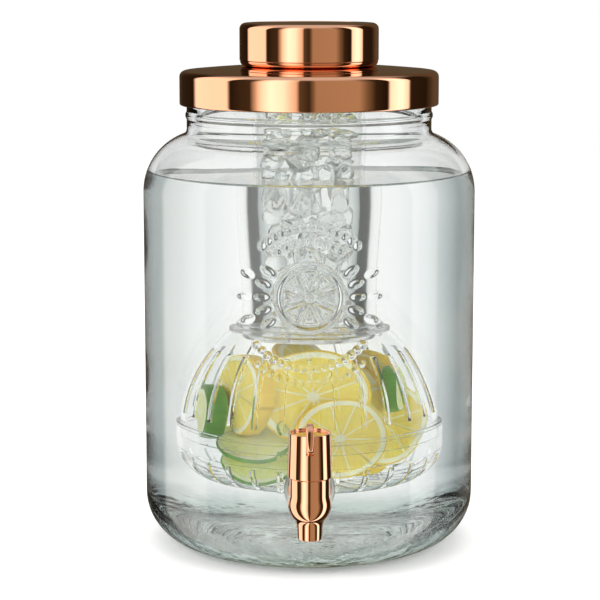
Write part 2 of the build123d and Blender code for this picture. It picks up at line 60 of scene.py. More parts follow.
MM = 0.001
Point = tuple[float, float, float]
Color = tuple[float, float, float]


class Body(Enum):
    """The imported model's moving bodies."""

    JAR = "jar"
    TAP_HANDLE = "tap_handle"
    LID = "lid"
    CAP = "cap"
    INFUSER = "infuser"
    BOWL = "bowl"


# ----------------------------------------------------------------------------------------------------
# Outlines and grids


def arc(center: tuple[float, float], radius: float, start: float, end: float, count: int) -> np.ndarray:
    """Points on an arc.

    Args:
        center: The arc's centre, as (radius, height).
        radius: The arc's radius.
        start: The first point's angle in degrees, from the +radius direction.
        end: The last point's angle in degrees.
        count: How many points, the two ends included.

    Returns:
        An array of (radius, height) rows.
    """
    angles = np.radians(np.linspace(start, end, count))
    return np.column_stack((center[0] + radius * np.cos(angles), center[1] + radius * np.sin(angles)))


def rounded(corners: Sequence[Point], closed: bool = False, count: int = 5) -> np.ndarray:
    """An outline whose corners are rounded by tangent arcs.

    Args:
        corners: The corners as (x, y, rounding radius). A radius of 0 keeps a corner sharp.
        closed: Whether the outline comes back to its first corner.
        count: Points in each arc.

    Returns:
        An array of (x, y) rows. The arc at a corner touches each side at radius / tan(half the inner
        angle). Each arc has one more point a little way along each side, so that the side between shades
        flat.
    """
    points = np.array([c[:2] for c in corners], float)
    radii = np.array([c[2] for c in corners], float)
    if not closed:
        radii[[0, -1]] = 0
    before, after = np.roll(points, 1, 0) - points, np.roll(points, -1, 0) - points
    lengths = np.linalg.norm(after, axis=1)
    before, after = before / np.roll(lengths, 1)[:, None], after / lengths[:, None]
    half = np.arccos(np.clip((before * after).sum(1), -1, 1)) / 2
    reach = np.where(radii > 0, radii / np.tan(np.maximum(half, 1e-6)), 0.0)
    spare = lengths - reach - np.roll(reach, -1)
    out: list[np.ndarray] = []
    for i, radius in enumerate(radii):
        here = points[i]
        if radius <= 0:
            out.append(here[None])
            continue
        middle = (before[i] + after[i]) / np.linalg.norm(before[i] + after[i]) * radius / math.sin(half[i])
        first, last = before[i] * reach[i] - middle, after[i] * reach[i] - middle
        share = np.linspace(0, 1, count)[:, None]
        turn = math.pi - 2 * half[i]
        weights = np.sin((1 - share) * turn) / math.sin(turn), np.sin(share * turn) / math.sin(turn)
        bend = here + middle + first * weights[0] + last * weights[1]
        steps = [min(0.25 * radius, 0.3 * spare[j]) for j in (i - 1, i)]
        if steps[0] > 2e-6:
            bend = np.concatenate((bend[:1] + before[i] * steps[0], bend))
        if steps[1] > 2e-6:
            bend = np.concatenate((bend, bend[-1:] + after[i] * steps[1]))
        out.append(bend)
    return np.concatenate(out)


def run(start: tuple[float, float], end: tuple[float, float], count: int) -> np.ndarray:
    """Evenly spaced points from start to end, as (radius, height) rows, both ends included."""
    return np.linspace(start, end, count)


def spin(outline: np.ndarray, angles: np.ndarray) -> np.ndarray:
    """Turns an outline about Z.

    Args:
        outline: (radius, height) rows.
        angles: The columns' angles in radians, from +X.

    Returns:
        A grid of points, shaped (rows, columns, 3).
    """
    radius, height = outline[:, :1], outline[:, 1:]
    return np.stack(
        (
            radius * np.cos(angles),
            radius * np.sin(angles),
            np.broadcast_to(height, (len(outline), len(angles))),
        ),
        2,
    )


def full_turn(count: int) -> np.ndarray:
    """Evenly spaced angles all the way round, in radians."""
    return np.arange(count) * 2 * np.pi / count


def grid_faces(rows: int, columns: int, wrap_rows: bool, wrap_columns: bool, first: int = 0) -> np.ndarray:
    """The quads of a grid, four point numbers to a row. first is the number of the grid's first point."""
    i = np.arange(rows if wrap_rows else rows - 1)[:, None]
    j = np.arange(columns if wrap_columns else columns - 1)[None]
    below, beside = (i + 1) % rows, (j + 1) % columns
    quads = np.stack(
        (i * columns + j, i * columns + beside, below * columns + beside, below * columns + j), 2
    )
    return quads.reshape(-1, 4) + first


class MeshBuilder:
    """Collects grids and faces into one mesh."""

    def __init__(self) -> None:
        """Starts an empty mesh."""
        self.points: list[np.ndarray] = []
        self.faces: list[np.ndarray] = []
        self.caps: list[list[int]] = []
        self.uvs: list[np.ndarray] = []
        self.count = 0

    def grid(
        self,
        points: np.ndarray,
        wrap_rows: bool = False,
        wrap_columns: bool = True,
        keep: np.ndarray | None = None,
        flip: bool = False,
    ) -> int:
        """Adds a grid of quads.

        Args:
            points: The grid, shaped (rows, columns, 3).
            wrap_rows: Whether the last row joins the first.
            wrap_columns: Whether the last column joins the first.
            keep: A mask of the quads to keep, shaped as the quads are.
            flip: Whether to turn the quads' sides round.

        Returns:
            The number of the grid's first point.
        """
        rows, columns = points.shape[:2]
        first = self.count
        quads = grid_faces(rows, columns, wrap_rows, wrap_columns, first)
        if keep is not None:
            quads = quads[keep.reshape(-1)]
        self.points.append(points.reshape(-1, 3))
        self.faces.append(quads[:, ::-1] if flip else quads)
        self.count += rows * columns
        return first

    def quads(self, quads: np.ndarray) -> None:
        """Adds quads between points that are already there."""
        self.faces.append(quads)

    def cap(self, ring: Sequence[int]) -> None:
        """Adds one flat face through a ring of points."""
        self.caps.append([int(i) for i in ring])

    def build(self, name: str, weld: float = 1e-7, sharp: float = 35.0) -> bpy.types.Mesh:
        """Makes the mesh, welds points that coincide, turns all sides outward and shades it smooth.

        Args:
            name: The mesh's name.
            weld: Points nearer to each other than this are joined.
            sharp: Edges that bend by more than this many degrees are shaded sharp.

        Returns:
            The new mesh.
        """
        points = np.concatenate(self.points)
        faces = np.concatenate(self.faces)
        mesh = bpy.data.meshes.new(name)
        if self.caps:
            mesh.from_pydata(points.tolist(), [], faces.tolist() + self.caps)
        else:
            mesh.vertices.add(len(points))
            mesh.vertices.foreach_set("co", points.astype(np.float32).reshape(-1))
            mesh.loops.add(faces.size)
            mesh.loops.foreach_set("vertex_index", faces.astype(np.int32).reshape(-1))
            mesh.polygons.add(len(faces))
            mesh.polygons.foreach_set("loop_start", np.arange(0, faces.size, 4, dtype=np.int32))
            mesh.update(calc_edges=True)
        if self.uvs:
            values = np.concatenate(self.uvs)
            loops = np.empty(len(mesh.loops), np.int32)
            mesh.loops.foreach_get("vertex_index", loops)
            layer = mesh.uv_layers.new(name="slice")
            layer.data.foreach_set("uv", values[loops].astype(np.float32).reshape(-1))
        tidy_mesh(mesh, weld)
        mesh.polygons.foreach_set("use_smooth", np.ones(len(mesh.polygons), bool))
        mesh.set_sharp_from_angle(angle=math.radians(sharp))
        mesh.update()
        return mesh


def tidy_mesh(mesh: bpy.types.Mesh, weld: float) -> None:
    """Welds points that coincide and turns every face outward."""
    work = bmesh.new()
    work.from_mesh(mesh)
    bmesh.ops.remove_doubles(work, verts=work.verts, dist=weld)
    bmesh.ops.dissolve_degenerate(work, edges=work.edges, dist=weld)
    bmesh.ops.recalc_face_normals(work, faces=work.faces)
    work.to_mesh(mesh)
    work.free()


def turned_mesh(name: str, outline: np.ndarray, columns: int, closed: bool) -> bpy.types.Mesh:
    """A mesh turned about Z from an outline. closed joins the outline's last point to its first."""
    builder = MeshBuilder()
    builder.grid(spin(outline, full_turn(columns)), wrap_rows=closed)
    return builder.build(name)


def add_piece(
    mesh: bpy.types.Mesh,
    body: Body,
    material: bpy.types.Material,
    replaces: Sequence[str] = (),
) -> bpy.types.Object:
    """Puts a mesh into the scene as a piece.

    Args:
        mesh: The piece's mesh, whose name becomes the piece's name.
        body: The body that it moves with.
        material: Its material.
        replaces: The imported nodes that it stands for.

    Returns:
        The new object.
    """
    piece = bpy.data.objects.new(mesh.name, mesh)
    bpy.context.scene.collection.objects.link(piece)
    mesh.materials.append(material)
    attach(piece, body.value)
    if replaces:
        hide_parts(*replaces)
    mesh.calc_loop_triangles()
    log.info("%s: %d triangles on %s", mesh.name, len(mesh.loop_triangles), body.value)
    return piece


# ----------------------------------------------------------------------------------------------------
# Finishes


class Nodes:
    """A short way to write a material's nodes."""

    def __init__(self, name: str) -> None:
        """Starts a material of that name."""
        self.material = bpy.data.materials.new(name)
        self.material.use_nodes = True
        self.tree = self.material.node_tree
        self.shader = self.tree.nodes["Principled BSDF"]

    def add(self, kind: str, settings: dict[str, object] | None = None, **inputs: object) -> bpy.types.Node:
        """Adds a node. Inputs are values or other nodes' outputs, and _ in a name stands for a space."""
        node = self.tree.nodes.new(kind)
        for key, value in (settings or {}).items():
            setattr(node, key, value)
        for key, value in inputs.items():
            self.put(node, key.replace("_", " "), value)
        return node

    def put(self, node: bpy.types.Node, key: str | int, value: object) -> None:
        """Sets a node's input to a value, or links another node's output to it."""
        socket = node.inputs[key]
        if isinstance(value, bpy.types.NodeSocket):
            self.tree.links.new(value, socket)
        elif isinstance(value, tuple) and len(value) == 3 and socket.type == "RGBA":
            socket.default_value = (*value, 1.0)
        else:
            socket.default_value = value

    def math(self, operation: str, *values: object, clamp: bool = False) -> bpy.types.NodeSocket:
        """A math node's output."""
        node = self.add("ShaderNodeMath", {"operation": operation, "use_clamp": clamp})
        for i, value in enumerate(values):
            self.put(node, i, value)
        return node.outputs[0]

    def step(self, value: object, low: float, high: float) -> bpy.types.NodeSocket:
        """A smooth step from 0 at low to 1 at high."""
        node = self.add("ShaderNodeMapRange", {"interpolation_type": "SMOOTHSTEP"})
        for key, item in (("Value", value), ("From Min", low), ("From Max", high)):
            self.put(node, key, item)
        return node.outputs["Result"]

    def mix(self, factor: object, first: object, second: object) -> bpy.types.NodeSocket:
        """A colour between first and second."""
        node = self.add("ShaderNodeMix", {"data_type": "RGBA"})
        self.put(node, "Factor", factor)
        for index, value in ((6, first), (7, second)):
            self.put(node, index, value)
        return node.outputs[2]

    def place(self, scale: Point = (1.0, 1.0, 1.0)) -> bpy.types.NodeSocket:
        """Object coordinates, scaled."""
        here = self.add("ShaderNodeTexCoord").outputs["Object"]
        return self.add("ShaderNodeMapping", Vector=here, Scale=scale).outputs[0]

    def noise(self, scale: float, detail: float = 2.0, place: object = None) -> bpy.types.NodeSocket:
        """A noise texture's value, from 0 to 1. scale is in cells to a metre."""
        vector = place if place is not None else self.place()
        return self.add("ShaderNodeTexNoise", Vector=vector, Scale=scale, Detail=detail).outputs[0]

    def bump(self, height: object, distance: float, strength: float = 1.0) -> None:
        """Puts a bump on the shader's normal. distance is in metres."""
        node = self.add("ShaderNodeBump", Height=height, Distance=distance, Strength=strength)
        self.put(self.shader, "Normal", node.outputs[0])


@dataclass(frozen=True)
class Copper:
    """Bright copper-coloured plating: a tinted mirror with faint waves, fine polishing marks and a little
    haze."""

    name: str
    color: Color = (0.93, 0.505, 0.325)
    roughness: float = 0.018
    wave: float = 0.000008

    def material(self) -> bpy.types.Material:
        """Makes the material.

        Returns:
            A metal whose roughness varies with a slow noise, under a faint bump.
        """
        nodes = Nodes(self.name)
        shader = nodes.shader
        slow = nodes.noise(35.0, 3.0)
        fine = nodes.noise(900.0, 2.0, nodes.place((1.0, 1.0, 6.0)))
        tint = nodes.mix(slow, self.color, tuple(c * 0.93 for c in self.color))
        nodes.put(shader, "Base Color", tint)
        nodes.put(shader, "Metallic", 1.0)
        rough = nodes.math("MULTIPLY_ADD", fine, 0.02, self.roughness - 0.008)
        nodes.put(shader, "Roughness", rough)
        nodes.bump(slow, self.wave, 0.6)
        return nodes.material


@dataclass(frozen=True)
class Clear:
    """A clear solid: glass, moulded plastic, silicone, water or ice."""

    name: str
    color: Color
    ior: float
    roughness: float = 0.0
    transmission: float = 1.0
    wave: float = 0.0
    wave_scale: float = 20.0
    cloud: float = 0.0

    def material(self) -> bpy.types.Material:
        """Makes the material.

        Returns:
            A transmissive material. wave is its bump's height in metres, and cloud how much its roughness
            varies.
        """
        nodes = Nodes(self.name)
        shader = nodes.shader
        slow = nodes.noise(self.wave_scale, 2.0)
        nodes.put(shader, "Base Color", nodes.mix(slow, self.color, tuple(c**1.25 for c in self.color)))
        nodes.put(shader, "IOR", self.ior)
        nodes.put(shader, "Transmission Weight", self.transmission)
        rough = nodes.math("MULTIPLY_ADD", slow, self.cloud, self.roughness)
        nodes.put(shader, "Roughness", rough)
        if self.wave:
            nodes.bump(slow, self.wave)
        return nodes.material


@dataclass(frozen=True)
class JarGlass(Clear):
    """Pressed glass, almost colourless in the wall and greener and more uneven towards the thick base."""

    base_color: Color = (0.57, 0.69, 0.645)
    base_wave: float = 0.0024
    base_low: float = 0.004
    base_high: float = 0.025

    def material(self) -> bpy.types.Material:
        """Makes the material.

        Returns:
            Clear glass. The height above the ground fades its colour and its waves from the base's to the
            wall's.
        """
        nodes = Nodes(self.name)
        shader = nodes.shader
        height = nodes.add("ShaderNodeSeparateXYZ", Vector=nodes.place()).outputs[2]
        wall = nodes.step(height, self.base_low, self.base_high)
        slow = nodes.noise(self.wave_scale, 2.0)
        streaks = nodes.noise(55.0, 3.0, nodes.place((1.0, 1.6, 1.0)))
        low = nodes.mix(streaks, self.base_color, tuple(c * 0.72 for c in self.base_color))
        nodes.put(shader, "Base Color", nodes.mix(wall, low, self.color))
        nodes.put(shader, "IOR", self.ior)
        nodes.put(shader, "Transmission Weight", self.transmission)
        nodes.put(shader, "Roughness", nodes.math("MULTIPLY", slow, 0.004))
        thick = nodes.math("SUBTRACT", 1.0, wall)
        uneven = nodes.math("MULTIPLY", nodes.math("MULTIPLY", streaks, thick), self.base_wave / self.wave)
        nodes.bump(nodes.math("ADD", slow, uneven), self.wave)
        return nodes.material


@dataclass(frozen=True)
class Moulded:
    """Opaque moulded plastic or rubber, with a fine grain and a little colour variation."""

    name: str
    color: Color
    roughness: float
    grain: float = 0.00002
    grain_scale: float = 2500.0

    def material(self) -> bpy.types.Material:
        """Makes the material.

        Returns:
            A plastic whose colour and roughness vary with noise, under a fine bump.
        """
        nodes = Nodes(self.name)
        shader = nodes.shader
        slow = nodes.noise(60.0, 3.0)
        fine = nodes.noise(self.grain_scale, 3.0)
        nodes.put(shader, "Base Color", nodes.mix(slow, self.color, tuple(c * 0.88 for c in self.color)))
        nodes.put(shader, "Roughness", nodes.math("MULTIPLY_ADD", fine, 0.15, self.roughness - 0.07))
        nodes.bump(fine, self.grain)
        return nodes.material


class Fruit(Enum):
    """The kinds of citrus in the infuser, as (rind, pith, flesh, deep flesh) colours."""

    LEMON = ((0.94, 0.66, 0.05), (0.94, 0.92, 0.66), (0.90, 0.74, 0.13), (0.82, 0.60, 0.06))
    LIME = ((0.14, 0.36, 0.03), (0.88, 0.92, 0.66), (0.80, 0.86, 0.36), (0.64, 0.73, 0.22))


@dataclass(frozen=True)
class CitrusFinish:
    """The cut face of a citrus slice: rind, pith, segments with membranes, and juice sacs."""

    kind: Fruit
    rind_start: float = 0.95
    pith_start: float = 0.85
    core: float = 0.08
    membrane: float = 0.045

    def material(self) -> bpy.types.Material:
        """Makes the material from the slice's own coordinates.

        Returns:
            A soft material. The first coordinate is the share of the radius and the second counts
            segments, so a membrane lies where the second is a whole number. Juice sacs are long cells that
            point to the core.
        """
        rind, pith, flesh, deep = self.kind.value
        nodes = Nodes(f"{self.kind.name.lower()}_flesh")
        shader = nodes.shader
        place = nodes.add("ShaderNodeUVMap", {"uv_map": "slice"}).outputs[0]
        split = nodes.add("ShaderNodeSeparateXYZ", Vector=place)
        share, count = split.outputs[0], split.outputs[1]
        stretched = nodes.add("ShaderNodeMapping", Vector=place, Scale=(7.0, 9.0, 1.0)).outputs[0]
        cells = nodes.add("ShaderNodeTexVoronoi", {"feature": "SMOOTH_F1"}, Vector=stretched, Scale=1.6)
        sacs = cells.outputs[0]
        cloud = nodes.noise(160.0, 3.0)
        inside = nodes.mix(nodes.math("MULTIPLY", sacs, 1.1, clamp=True), flesh, deep)
        half_cloud = nodes.math("MULTIPLY", cloud, 0.5)
        inside = nodes.mix(half_cloud, inside, tuple(min(1.0, c * 1.25) for c in flesh))
        away = nodes.math("ABSOLUTE", nodes.math("SUBTRACT", nodes.math("FRACT", count), 0.5))
        gap = nodes.math("MULTIPLY", nodes.math("SUBTRACT", 0.5, away), share)
        wall = nodes.math("SUBTRACT", 1.0, nodes.step(gap, self.membrane * 0.35, self.membrane))
        edge = nodes.step(share, self.pith_start - 0.03, self.pith_start + 0.01)
        middle = nodes.math("SUBTRACT", 1.0, nodes.step(share, self.core, self.core + 0.05))
        white = nodes.math("MAXIMUM", nodes.math("MAXIMUM", nodes.math("MULTIPLY", wall, 0.75), edge), middle)
        color = nodes.mix(white, inside, pith)
        color = nodes.mix(nodes.step(share, self.rind_start - 0.012, self.rind_start + 0.012), color, rind)
        nodes.put(shader, "Base Color", color)
        nodes.put(shader, "Roughness", nodes.math("MULTIPLY_ADD", cloud, 0.2, 0.22))
        nodes.put(shader, "Subsurface Weight", 0.45)
        nodes.put(shader, "Subsurface Radius", (0.006, 0.005, 0.002))
        nodes.put(shader, "Subsurface Scale", 1.0)
        relief = nodes.math("MULTIPLY_ADD", white, 0.5, nodes.math("MULTIPLY", sacs, -0.6))
        nodes.bump(relief, 0.0005)
        return nodes.material


def finishes() -> dict[str, bpy.types.Material]:
    """Makes every finish once.

    Returns:
        The materials by name.
    """
    kinds = [
        JarGlass("jar_glass", (0.985, 0.996, 0.992), 1.50, wave=0.00012, wave_scale=18.0),
        Clear("clear_plastic", (0.985, 0.99, 0.985), 1.49, wave=0.00003, wave_scale=60.0),
        Clear("infuser_plastic", (0.985, 0.992, 0.988), 1.25, wave=0.00003, wave_scale=60.0),
        Clear("clear_silicone", (0.93, 0.95, 0.93), 1.41, 0.28, 0.9, cloud=0.1, wave_scale=300.0),
        Clear("water", (0.997, 0.999, 0.998), 1.33),
        Clear("ice", (0.985, 0.995, 0.99), 1.31, 0.02, 1.0, wave=0.0005, wave_scale=220.0, cloud=0.06),
        Copper("copper_metal"),
        Copper("copper_plastic", roughness=0.028, wave=0.000015),
        Moulded("white_plastic", (0.86, 0.86, 0.84), 0.4),
        Moulded("grey_plastic", (0.12, 0.125, 0.13), 0.55),
        Moulded("black_rubber", (0.02, 0.02, 0.02), 0.6),
    ]
    made = {kind.name: kind.material() for kind in kinds}
    return made | {f"{kind.name.lower()}_flesh": CitrusFinish(kind).material() for kind in Fruit}


# ----------------------------------------------------------------------------------------------------
# The jar, with its relief


@dataclass(frozen=True)
class Relief:
    """The raised citrus wheel on the jar's front, with drops at its sides and an arch of beads over and
    under it."""

    center: float = 0.181
    height: float = 0.0009
    edge: float = 0.0009
    wheel_radius: float = 0.0205
    line: float = 0.0011
    segments: int = 8
    half_width: float = 0.052
    low: float = 0.118
    high: float = 0.2355

    def amount(self, across: np.ndarray, up: np.ndarray) -> np.ndarray:
        """How far the glass stands out.

        Args:
            across: Distances along the wall from the jar's front line.
            up: Heights.

        Returns:
            The outward distances. Each figure has a signed distance, negative inside it, and the height rises
            smoothly over the edge's width where that distance passes zero.
        """
        x, z = across, up - self.center
        radius, angle = np.hypot(x, z), np.arctan2(z, x)
        ring = np.abs(radius - self.wheel_radius) - self.line
        step = 2 * np.pi / self.segments
        off = (angle - np.pi / 2 + step / 2) % step - step / 2
        along, side = radius * np.cos(off), np.abs(radius * np.sin(off))
        wedge = np.maximum(
            side - (along - 0.0042) * math.tan(step / 2) + 0.0005,
            radius - self.wheel_radius + 0.0038,
        )
        figures = [ring, wedge, radius - 0.0017]
        rows = (
            (0.0440, 47, 133, 15, 0.0019, 1.0),
            (0.0350, 55, 125, 9, 0.0015, 1.0),
            (0.0305, 148, 212, 5, 0.0019, 2.1),
            (0.0305, -32, 32, 5, 0.0019, 2.1),
            (0.0420, 160, 200, 3, 0.0017, 2.0),
            (0.0420, -20, 20, 3, 0.0017, 2.0),
            (0.0450, 222, 318, 17, 0.0019, 1.0),
            (0.0540, 232, 308, 15, 0.0015, 1.0),
        )
        for reach, start, end, count, size, stretch in rows:
            for turn in np.radians(np.linspace(start, end, count)):
                outward = x * math.cos(turn) + z * math.sin(turn) - reach
                sideways = z * math.cos(turn) - x * math.sin(turn)
                figures.append(np.hypot(outward / stretch, sideways) - size)
        nearest = np.minimum.reduce(figures)
        share = np.clip(0.5 - nearest / (2 * self.edge), 0, 1)
        return self.height * share * share * (3 - 2 * share)


@dataclass(frozen=True)
class Jar:
    """The glass jar: round heel, straight wall, round shoulder, beaded neck, and a hole for the tap's
    shank."""

    wall: float = 0.005
    heel: float = 0.034
    inner_heel: float = 0.027
    base: float = 0.009
    push_up: float = 0.0025
    foot: float = 0.018
    body_height: float = 0.2365
    shoulder: float = 0.040
    neck_fillet: float = 0.004
    neck_step: float = 0.029
    lip: float = 0.0015
    bead_rise: float = 0.009
    bead: float = 0.0009
    bead_half: float = 0.0026
    hole: float = 0.0086
    hole_block: float = 0.020
    hole_rows: int = 26
    ripple: float = 0.00016
    relief: Relief = Relief()

    @property
    def radius(self) -> float:
        """The outer radius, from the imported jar."""
        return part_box("glass_jar")[1].y

    @property
    def rim(self) -> float:
        """The rim's height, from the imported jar."""
        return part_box("glass_jar")[1].z

    @property
    def tap_height(self) -> float:
        """The height of the tap's shank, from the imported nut."""
        low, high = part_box("tap_nut")
        return (low.z + high.z) / 2

    @property
    def neck(self) -> float:
        """The neck's outer radius."""
        return self.radius - self.neck_step

    def fillet(self) -> tuple[float, float, float]:
        """The centre (radius, height) of the fillet under the neck, and the angle where it meets the
        shoulder."""
        reach = self.shoulder + self.neck_fillet
        across = self.neck + self.neck_fillet - (self.radius - self.shoulder)
        rise = math.sqrt(reach**2 - across**2)
        return self.neck + self.neck_fillet, self.body_height + rise, math.degrees(math.atan2(rise, across))

    def wall_rows(self, radius: float) -> np.ndarray:
        """The straight wall's points at a radius, with the rows that the tap's hole and the relief need."""
        low, high = self.tap_height - self.hole_block, self.tap_height + self.hole_block
        return np.concatenate(
            (
                run((radius, self.heel + 0.002), (radius, low - 0.001), 3),
                run((radius, low), (radius, high), self.hole_rows + 1),
                run((radius, high + 0.004), (radius, self.relief.low - 0.004), 8),
            )
        )

    def outer(self) -> np.ndarray:
        """The outer outline, from the base's centre to the rim's crest."""
        foot = self.radius - self.heel - self.foot
        inner = self.radius - self.shoulder
        bend_radius, bend_height, angle = self.fillet()
        bead = bend_height + self.bead_rise
        across = np.linspace(-1, 1, 9)
        beads = np.column_stack(
            (self.neck + self.bead * np.cos(across * np.pi / 2), bead + self.bead_half * across)
        )
        return np.concatenate(
            (
                rounded(
                    ((0, self.push_up, 0), (foot - self.push_up, self.push_up, 0.002), (foot, 0, 0.0015))
                ),
                arc((self.radius - self.heel, self.heel), self.heel, -90, 0, 22),
                self.wall_rows(self.radius),
                run((self.radius, self.relief.low), (self.radius, self.relief.high), 158),
                arc((inner, self.body_height), self.shoulder, 0, angle, 20),
                arc((bend_radius, bend_height), self.neck_fillet, 180 + angle, 180, 6)[1:],
                beads,
                arc((self.neck - self.lip, self.rim - self.lip), self.lip, 0, 90, 5),
            )
        )

    def inner(self) -> np.ndarray:
        """The inner outline, from the rim's crest down to the floor's centre."""
        inside, mouth = self.radius - self.wall, self.neck - self.wall
        bend_radius, bend_height, angle = self.fillet()
        return np.concatenate(
            (
                arc((mouth + self.lip, self.rim - self.lip), self.lip, 90, 180, 5),
                run((mouth, self.rim - 0.004), (mouth, bend_height), 4),
                arc((bend_radius, bend_height), self.neck_fillet + self.wall, 180, 180 + angle, 8)[1:],
                arc(
                    (self.radius - self.shoulder, self.body_height), self.shoulder - self.wall, angle, 0, 14
                )[1:],
                run((inside, self.body_height - 0.005), (inside, self.relief.low), 16),
                self.wall_rows(inside)[::-1],
                arc((inside - self.inner_heel, self.base + self.inner_heel), self.inner_heel, 0, -90, 16),
                run((inside - self.inner_heel - 0.01, self.base), (0, self.base), 5),
            )
        )

    def columns(self) -> np.ndarray:
        """The columns' angles: close together over the relief in front, and wider apart round the back."""
        half = math.asin(min(1.0, self.relief.half_width / self.radius))
        block = self.hole_block / self.radius
        front = np.linspace(-half, half, 2 * round(half / block * self.hole_rows) + 1)
        back = np.linspace(half, 2 * np.pi - half, 124)[1:-1]
        return np.concatenate((front, back)) - np.pi / 2

    def open_hole(self, grid: np.ndarray, rows: slice, columns: np.ndarray, radius: float) -> None:
        """Moves a block of grid points so that a square ring of them becomes the hole's circle.

        Args:
            grid: The jar's grid, changed in place.
            rows: The block's rows, from low to high or high to low.
            columns: The block's column numbers.
            radius: The wall's radius here.

        A point's square distance from the block's middle runs from 0 to 1. At the ring whose distance is
        6/13 it moves onto the circle, at 1 it stays, and between them it is in proportion.
        """
        block = grid[rows][:, columns]
        angle = np.arctan2(block[..., 1], block[..., 0]) + np.pi / 2
        across, up = angle * radius, block[..., 2] - self.tap_height
        square = np.maximum(np.abs(across), np.abs(up)) / self.hole_block
        length = np.maximum(np.hypot(across, up), 1e-9)
        ring = 6 / 13
        share = np.clip((square - ring) / (1 - ring), 0, 1)
        circle = self.hole * square / ring / length
        across, up = (v * (circle * (1 - share) + share) for v in (across, up))
        turn = across / radius - np.pi / 2
        moved = np.stack((radius * np.cos(turn), radius * np.sin(turn), up + self.tap_height), 2)
        grid[rows, columns[0] : columns[-1] + 1] = moved

    def mesh(self) -> bpy.types.Mesh:
        """Makes the jar's mesh as one grid over the outer and inner outlines, with the hole's wall between
        them."""
        outer, inner = self.outer(), self.inner()
        columns = self.columns()
        grid = spin(np.concatenate((outer, inner)), columns)
        across = (columns + np.pi / 2 + np.pi) % (2 * np.pi) - np.pi
        heights = grid[: len(outer), :, 2]
        raised = self.relief.amount(across[None] * self.radius, heights)
        straight = np.abs(outer[:, 0] - self.radius) < 1e-6
        raised = np.where(straight[:, None], raised, 0.0)
        grid[: len(outer), :, :2] *= (1 + raised / self.radius)[..., None]
        inside = grid[len(outer) :]
        wave = np.sin(3 * across[None] + 40 * inside[..., 2]) + np.sin(
            5 * across[None] - 65 * inside[..., 2] + 1.3
        )
        wave += 0.7 * np.sin(2 * across[None] + 110 * inside[..., 2] + 0.4)
        inside[..., :2] *= (1 + self.ripple * wave / self.radius)[..., None]

        middle = int(np.argmin(np.abs(across)))
        half = self.hole_rows
        block = np.arange(middle - half, middle + half + 1)
        low = self.tap_height - self.hole_block
        first = int(np.argmin(np.abs(outer[:, 0] - self.radius) * 1e3 + np.abs(outer[:, 1] - low)))
        inside_radius = self.radius - self.wall
        top = low + 2 * self.hole_block
        miss = np.abs(inner[:, 0] - inside_radius) * 1e3 + np.abs(inner[:, 1] - top)
        from_top = int(np.argmin(miss)) + len(outer)
        self.open_hole(grid, slice(first, first + half + 1), block, self.radius)
        self.open_hole(grid, slice(from_top, from_top + half + 1), block, inside_radius)

        rows, count = grid.shape[:2]
        keep = np.ones((rows - 1, count), bool)
        quarter, eighth = half * 6 // 13, half // 2 * 6 // 13
        left, right = middle - quarter, middle + quarter
        keep[first + half // 2 - eighth : first + half // 2 + eighth, left:right] = False
        keep[from_top + half // 2 - eighth : from_top + half // 2 + eighth, left:right] = False
        builder = MeshBuilder()
        builder.grid(grid, keep=keep)

        def rim(start: int, step: int) -> np.ndarray:
            """The point numbers round the hole, where rows climb by step."""
            base = start + (half // 2) * step
            rows_up = base + np.arange(-eighth, eighth) * step
            sides = np.arange(left, right)
            return np.concatenate(
                (
                    (base - eighth * step) * count + sides,
                    rows_up * count + right,
                    (base + eighth * step) * count + sides[::-1] + 1,
                    rows_up[::-1] * count + step * count + left,
                )
            )

        outside, within = rim(first, 1), rim(from_top + half, -1)
        builder.quads(np.stack((outside, np.roll(outside, -1), np.roll(within, -1), within), 1))
        return builder.build("jar_glass")


@dataclass(frozen=True)
class Drink:
    """The water in the jar. It reaches a little way into the glass and into the ice tube, so no air shows
    between."""

    jar: Jar
    tube_bottom_radius: float
    tube_top_radius: float
    tube_top: float
    level: float = 0.2475
    overlap: float = 0.0004
    meniscus: float = 0.0022
    columns: int = 160

    def mesh(self) -> bpy.types.Mesh:
        """Makes the drink's mesh: the jar's inner outline set out by the overlap, a surface that curves up
        at the glass, and the ice tube's outline set in by the overlap."""
        jar = self.jar
        inside = jar.radius - jar.wall + self.overlap
        curve = jar.shoulder - jar.wall + self.overlap
        climb = math.degrees(math.asin((self.level + self.meniscus - jar.body_height) / curve))
        share = np.linspace(1, 0, 9)
        edge_radius = jar.radius - jar.shoulder + curve * math.cos(math.radians(climb))
        surface = np.column_stack((edge_radius - 0.009 * (1 - share), self.level + self.meniscus * share**4))
        tube_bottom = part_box("ice_tube")[0].z
        taper = (self.tube_top_radius - self.tube_bottom_radius) / (self.tube_top - tube_bottom)
        at_level = self.tube_bottom_radius + taper * (self.level - tube_bottom) - self.overlap
        at_bottom = self.tube_bottom_radius - self.overlap
        outline = np.concatenate(
            (
                run(
                    (0, jar.base - self.overlap), (inside - jar.inner_heel - 0.01, jar.base - self.overlap), 4
                ),
                arc(
                    (inside - jar.inner_heel - self.overlap, jar.base + jar.inner_heel),
                    jar.inner_heel + self.overlap,
                    -90,
                    0,
                    20,
                ),
                run((inside, jar.base + jar.inner_heel + 0.01), (inside, jar.body_height - 0.01), 12),
                arc((jar.radius - jar.shoulder, jar.body_height), curve, 0, climb, 6),
                surface[1:],
                run((edge_radius - 0.02, self.level), (at_level + 0.002, self.level), 6),
                rounded(
                    (
                        (at_level + 0.001, self.level, 0),
                        (at_level, self.level, 0.0002),
                        (at_bottom, tube_bottom + self.overlap, 0.0028),
                        (0, tube_bottom + self.overlap, 0),
                    )
                ),
            )
        )
        return turned_mesh("drink_water", outline, self.columns, closed=False)


# ----------------------------------------------------------------------------------------------------
# The lid, the cap and the ice tube


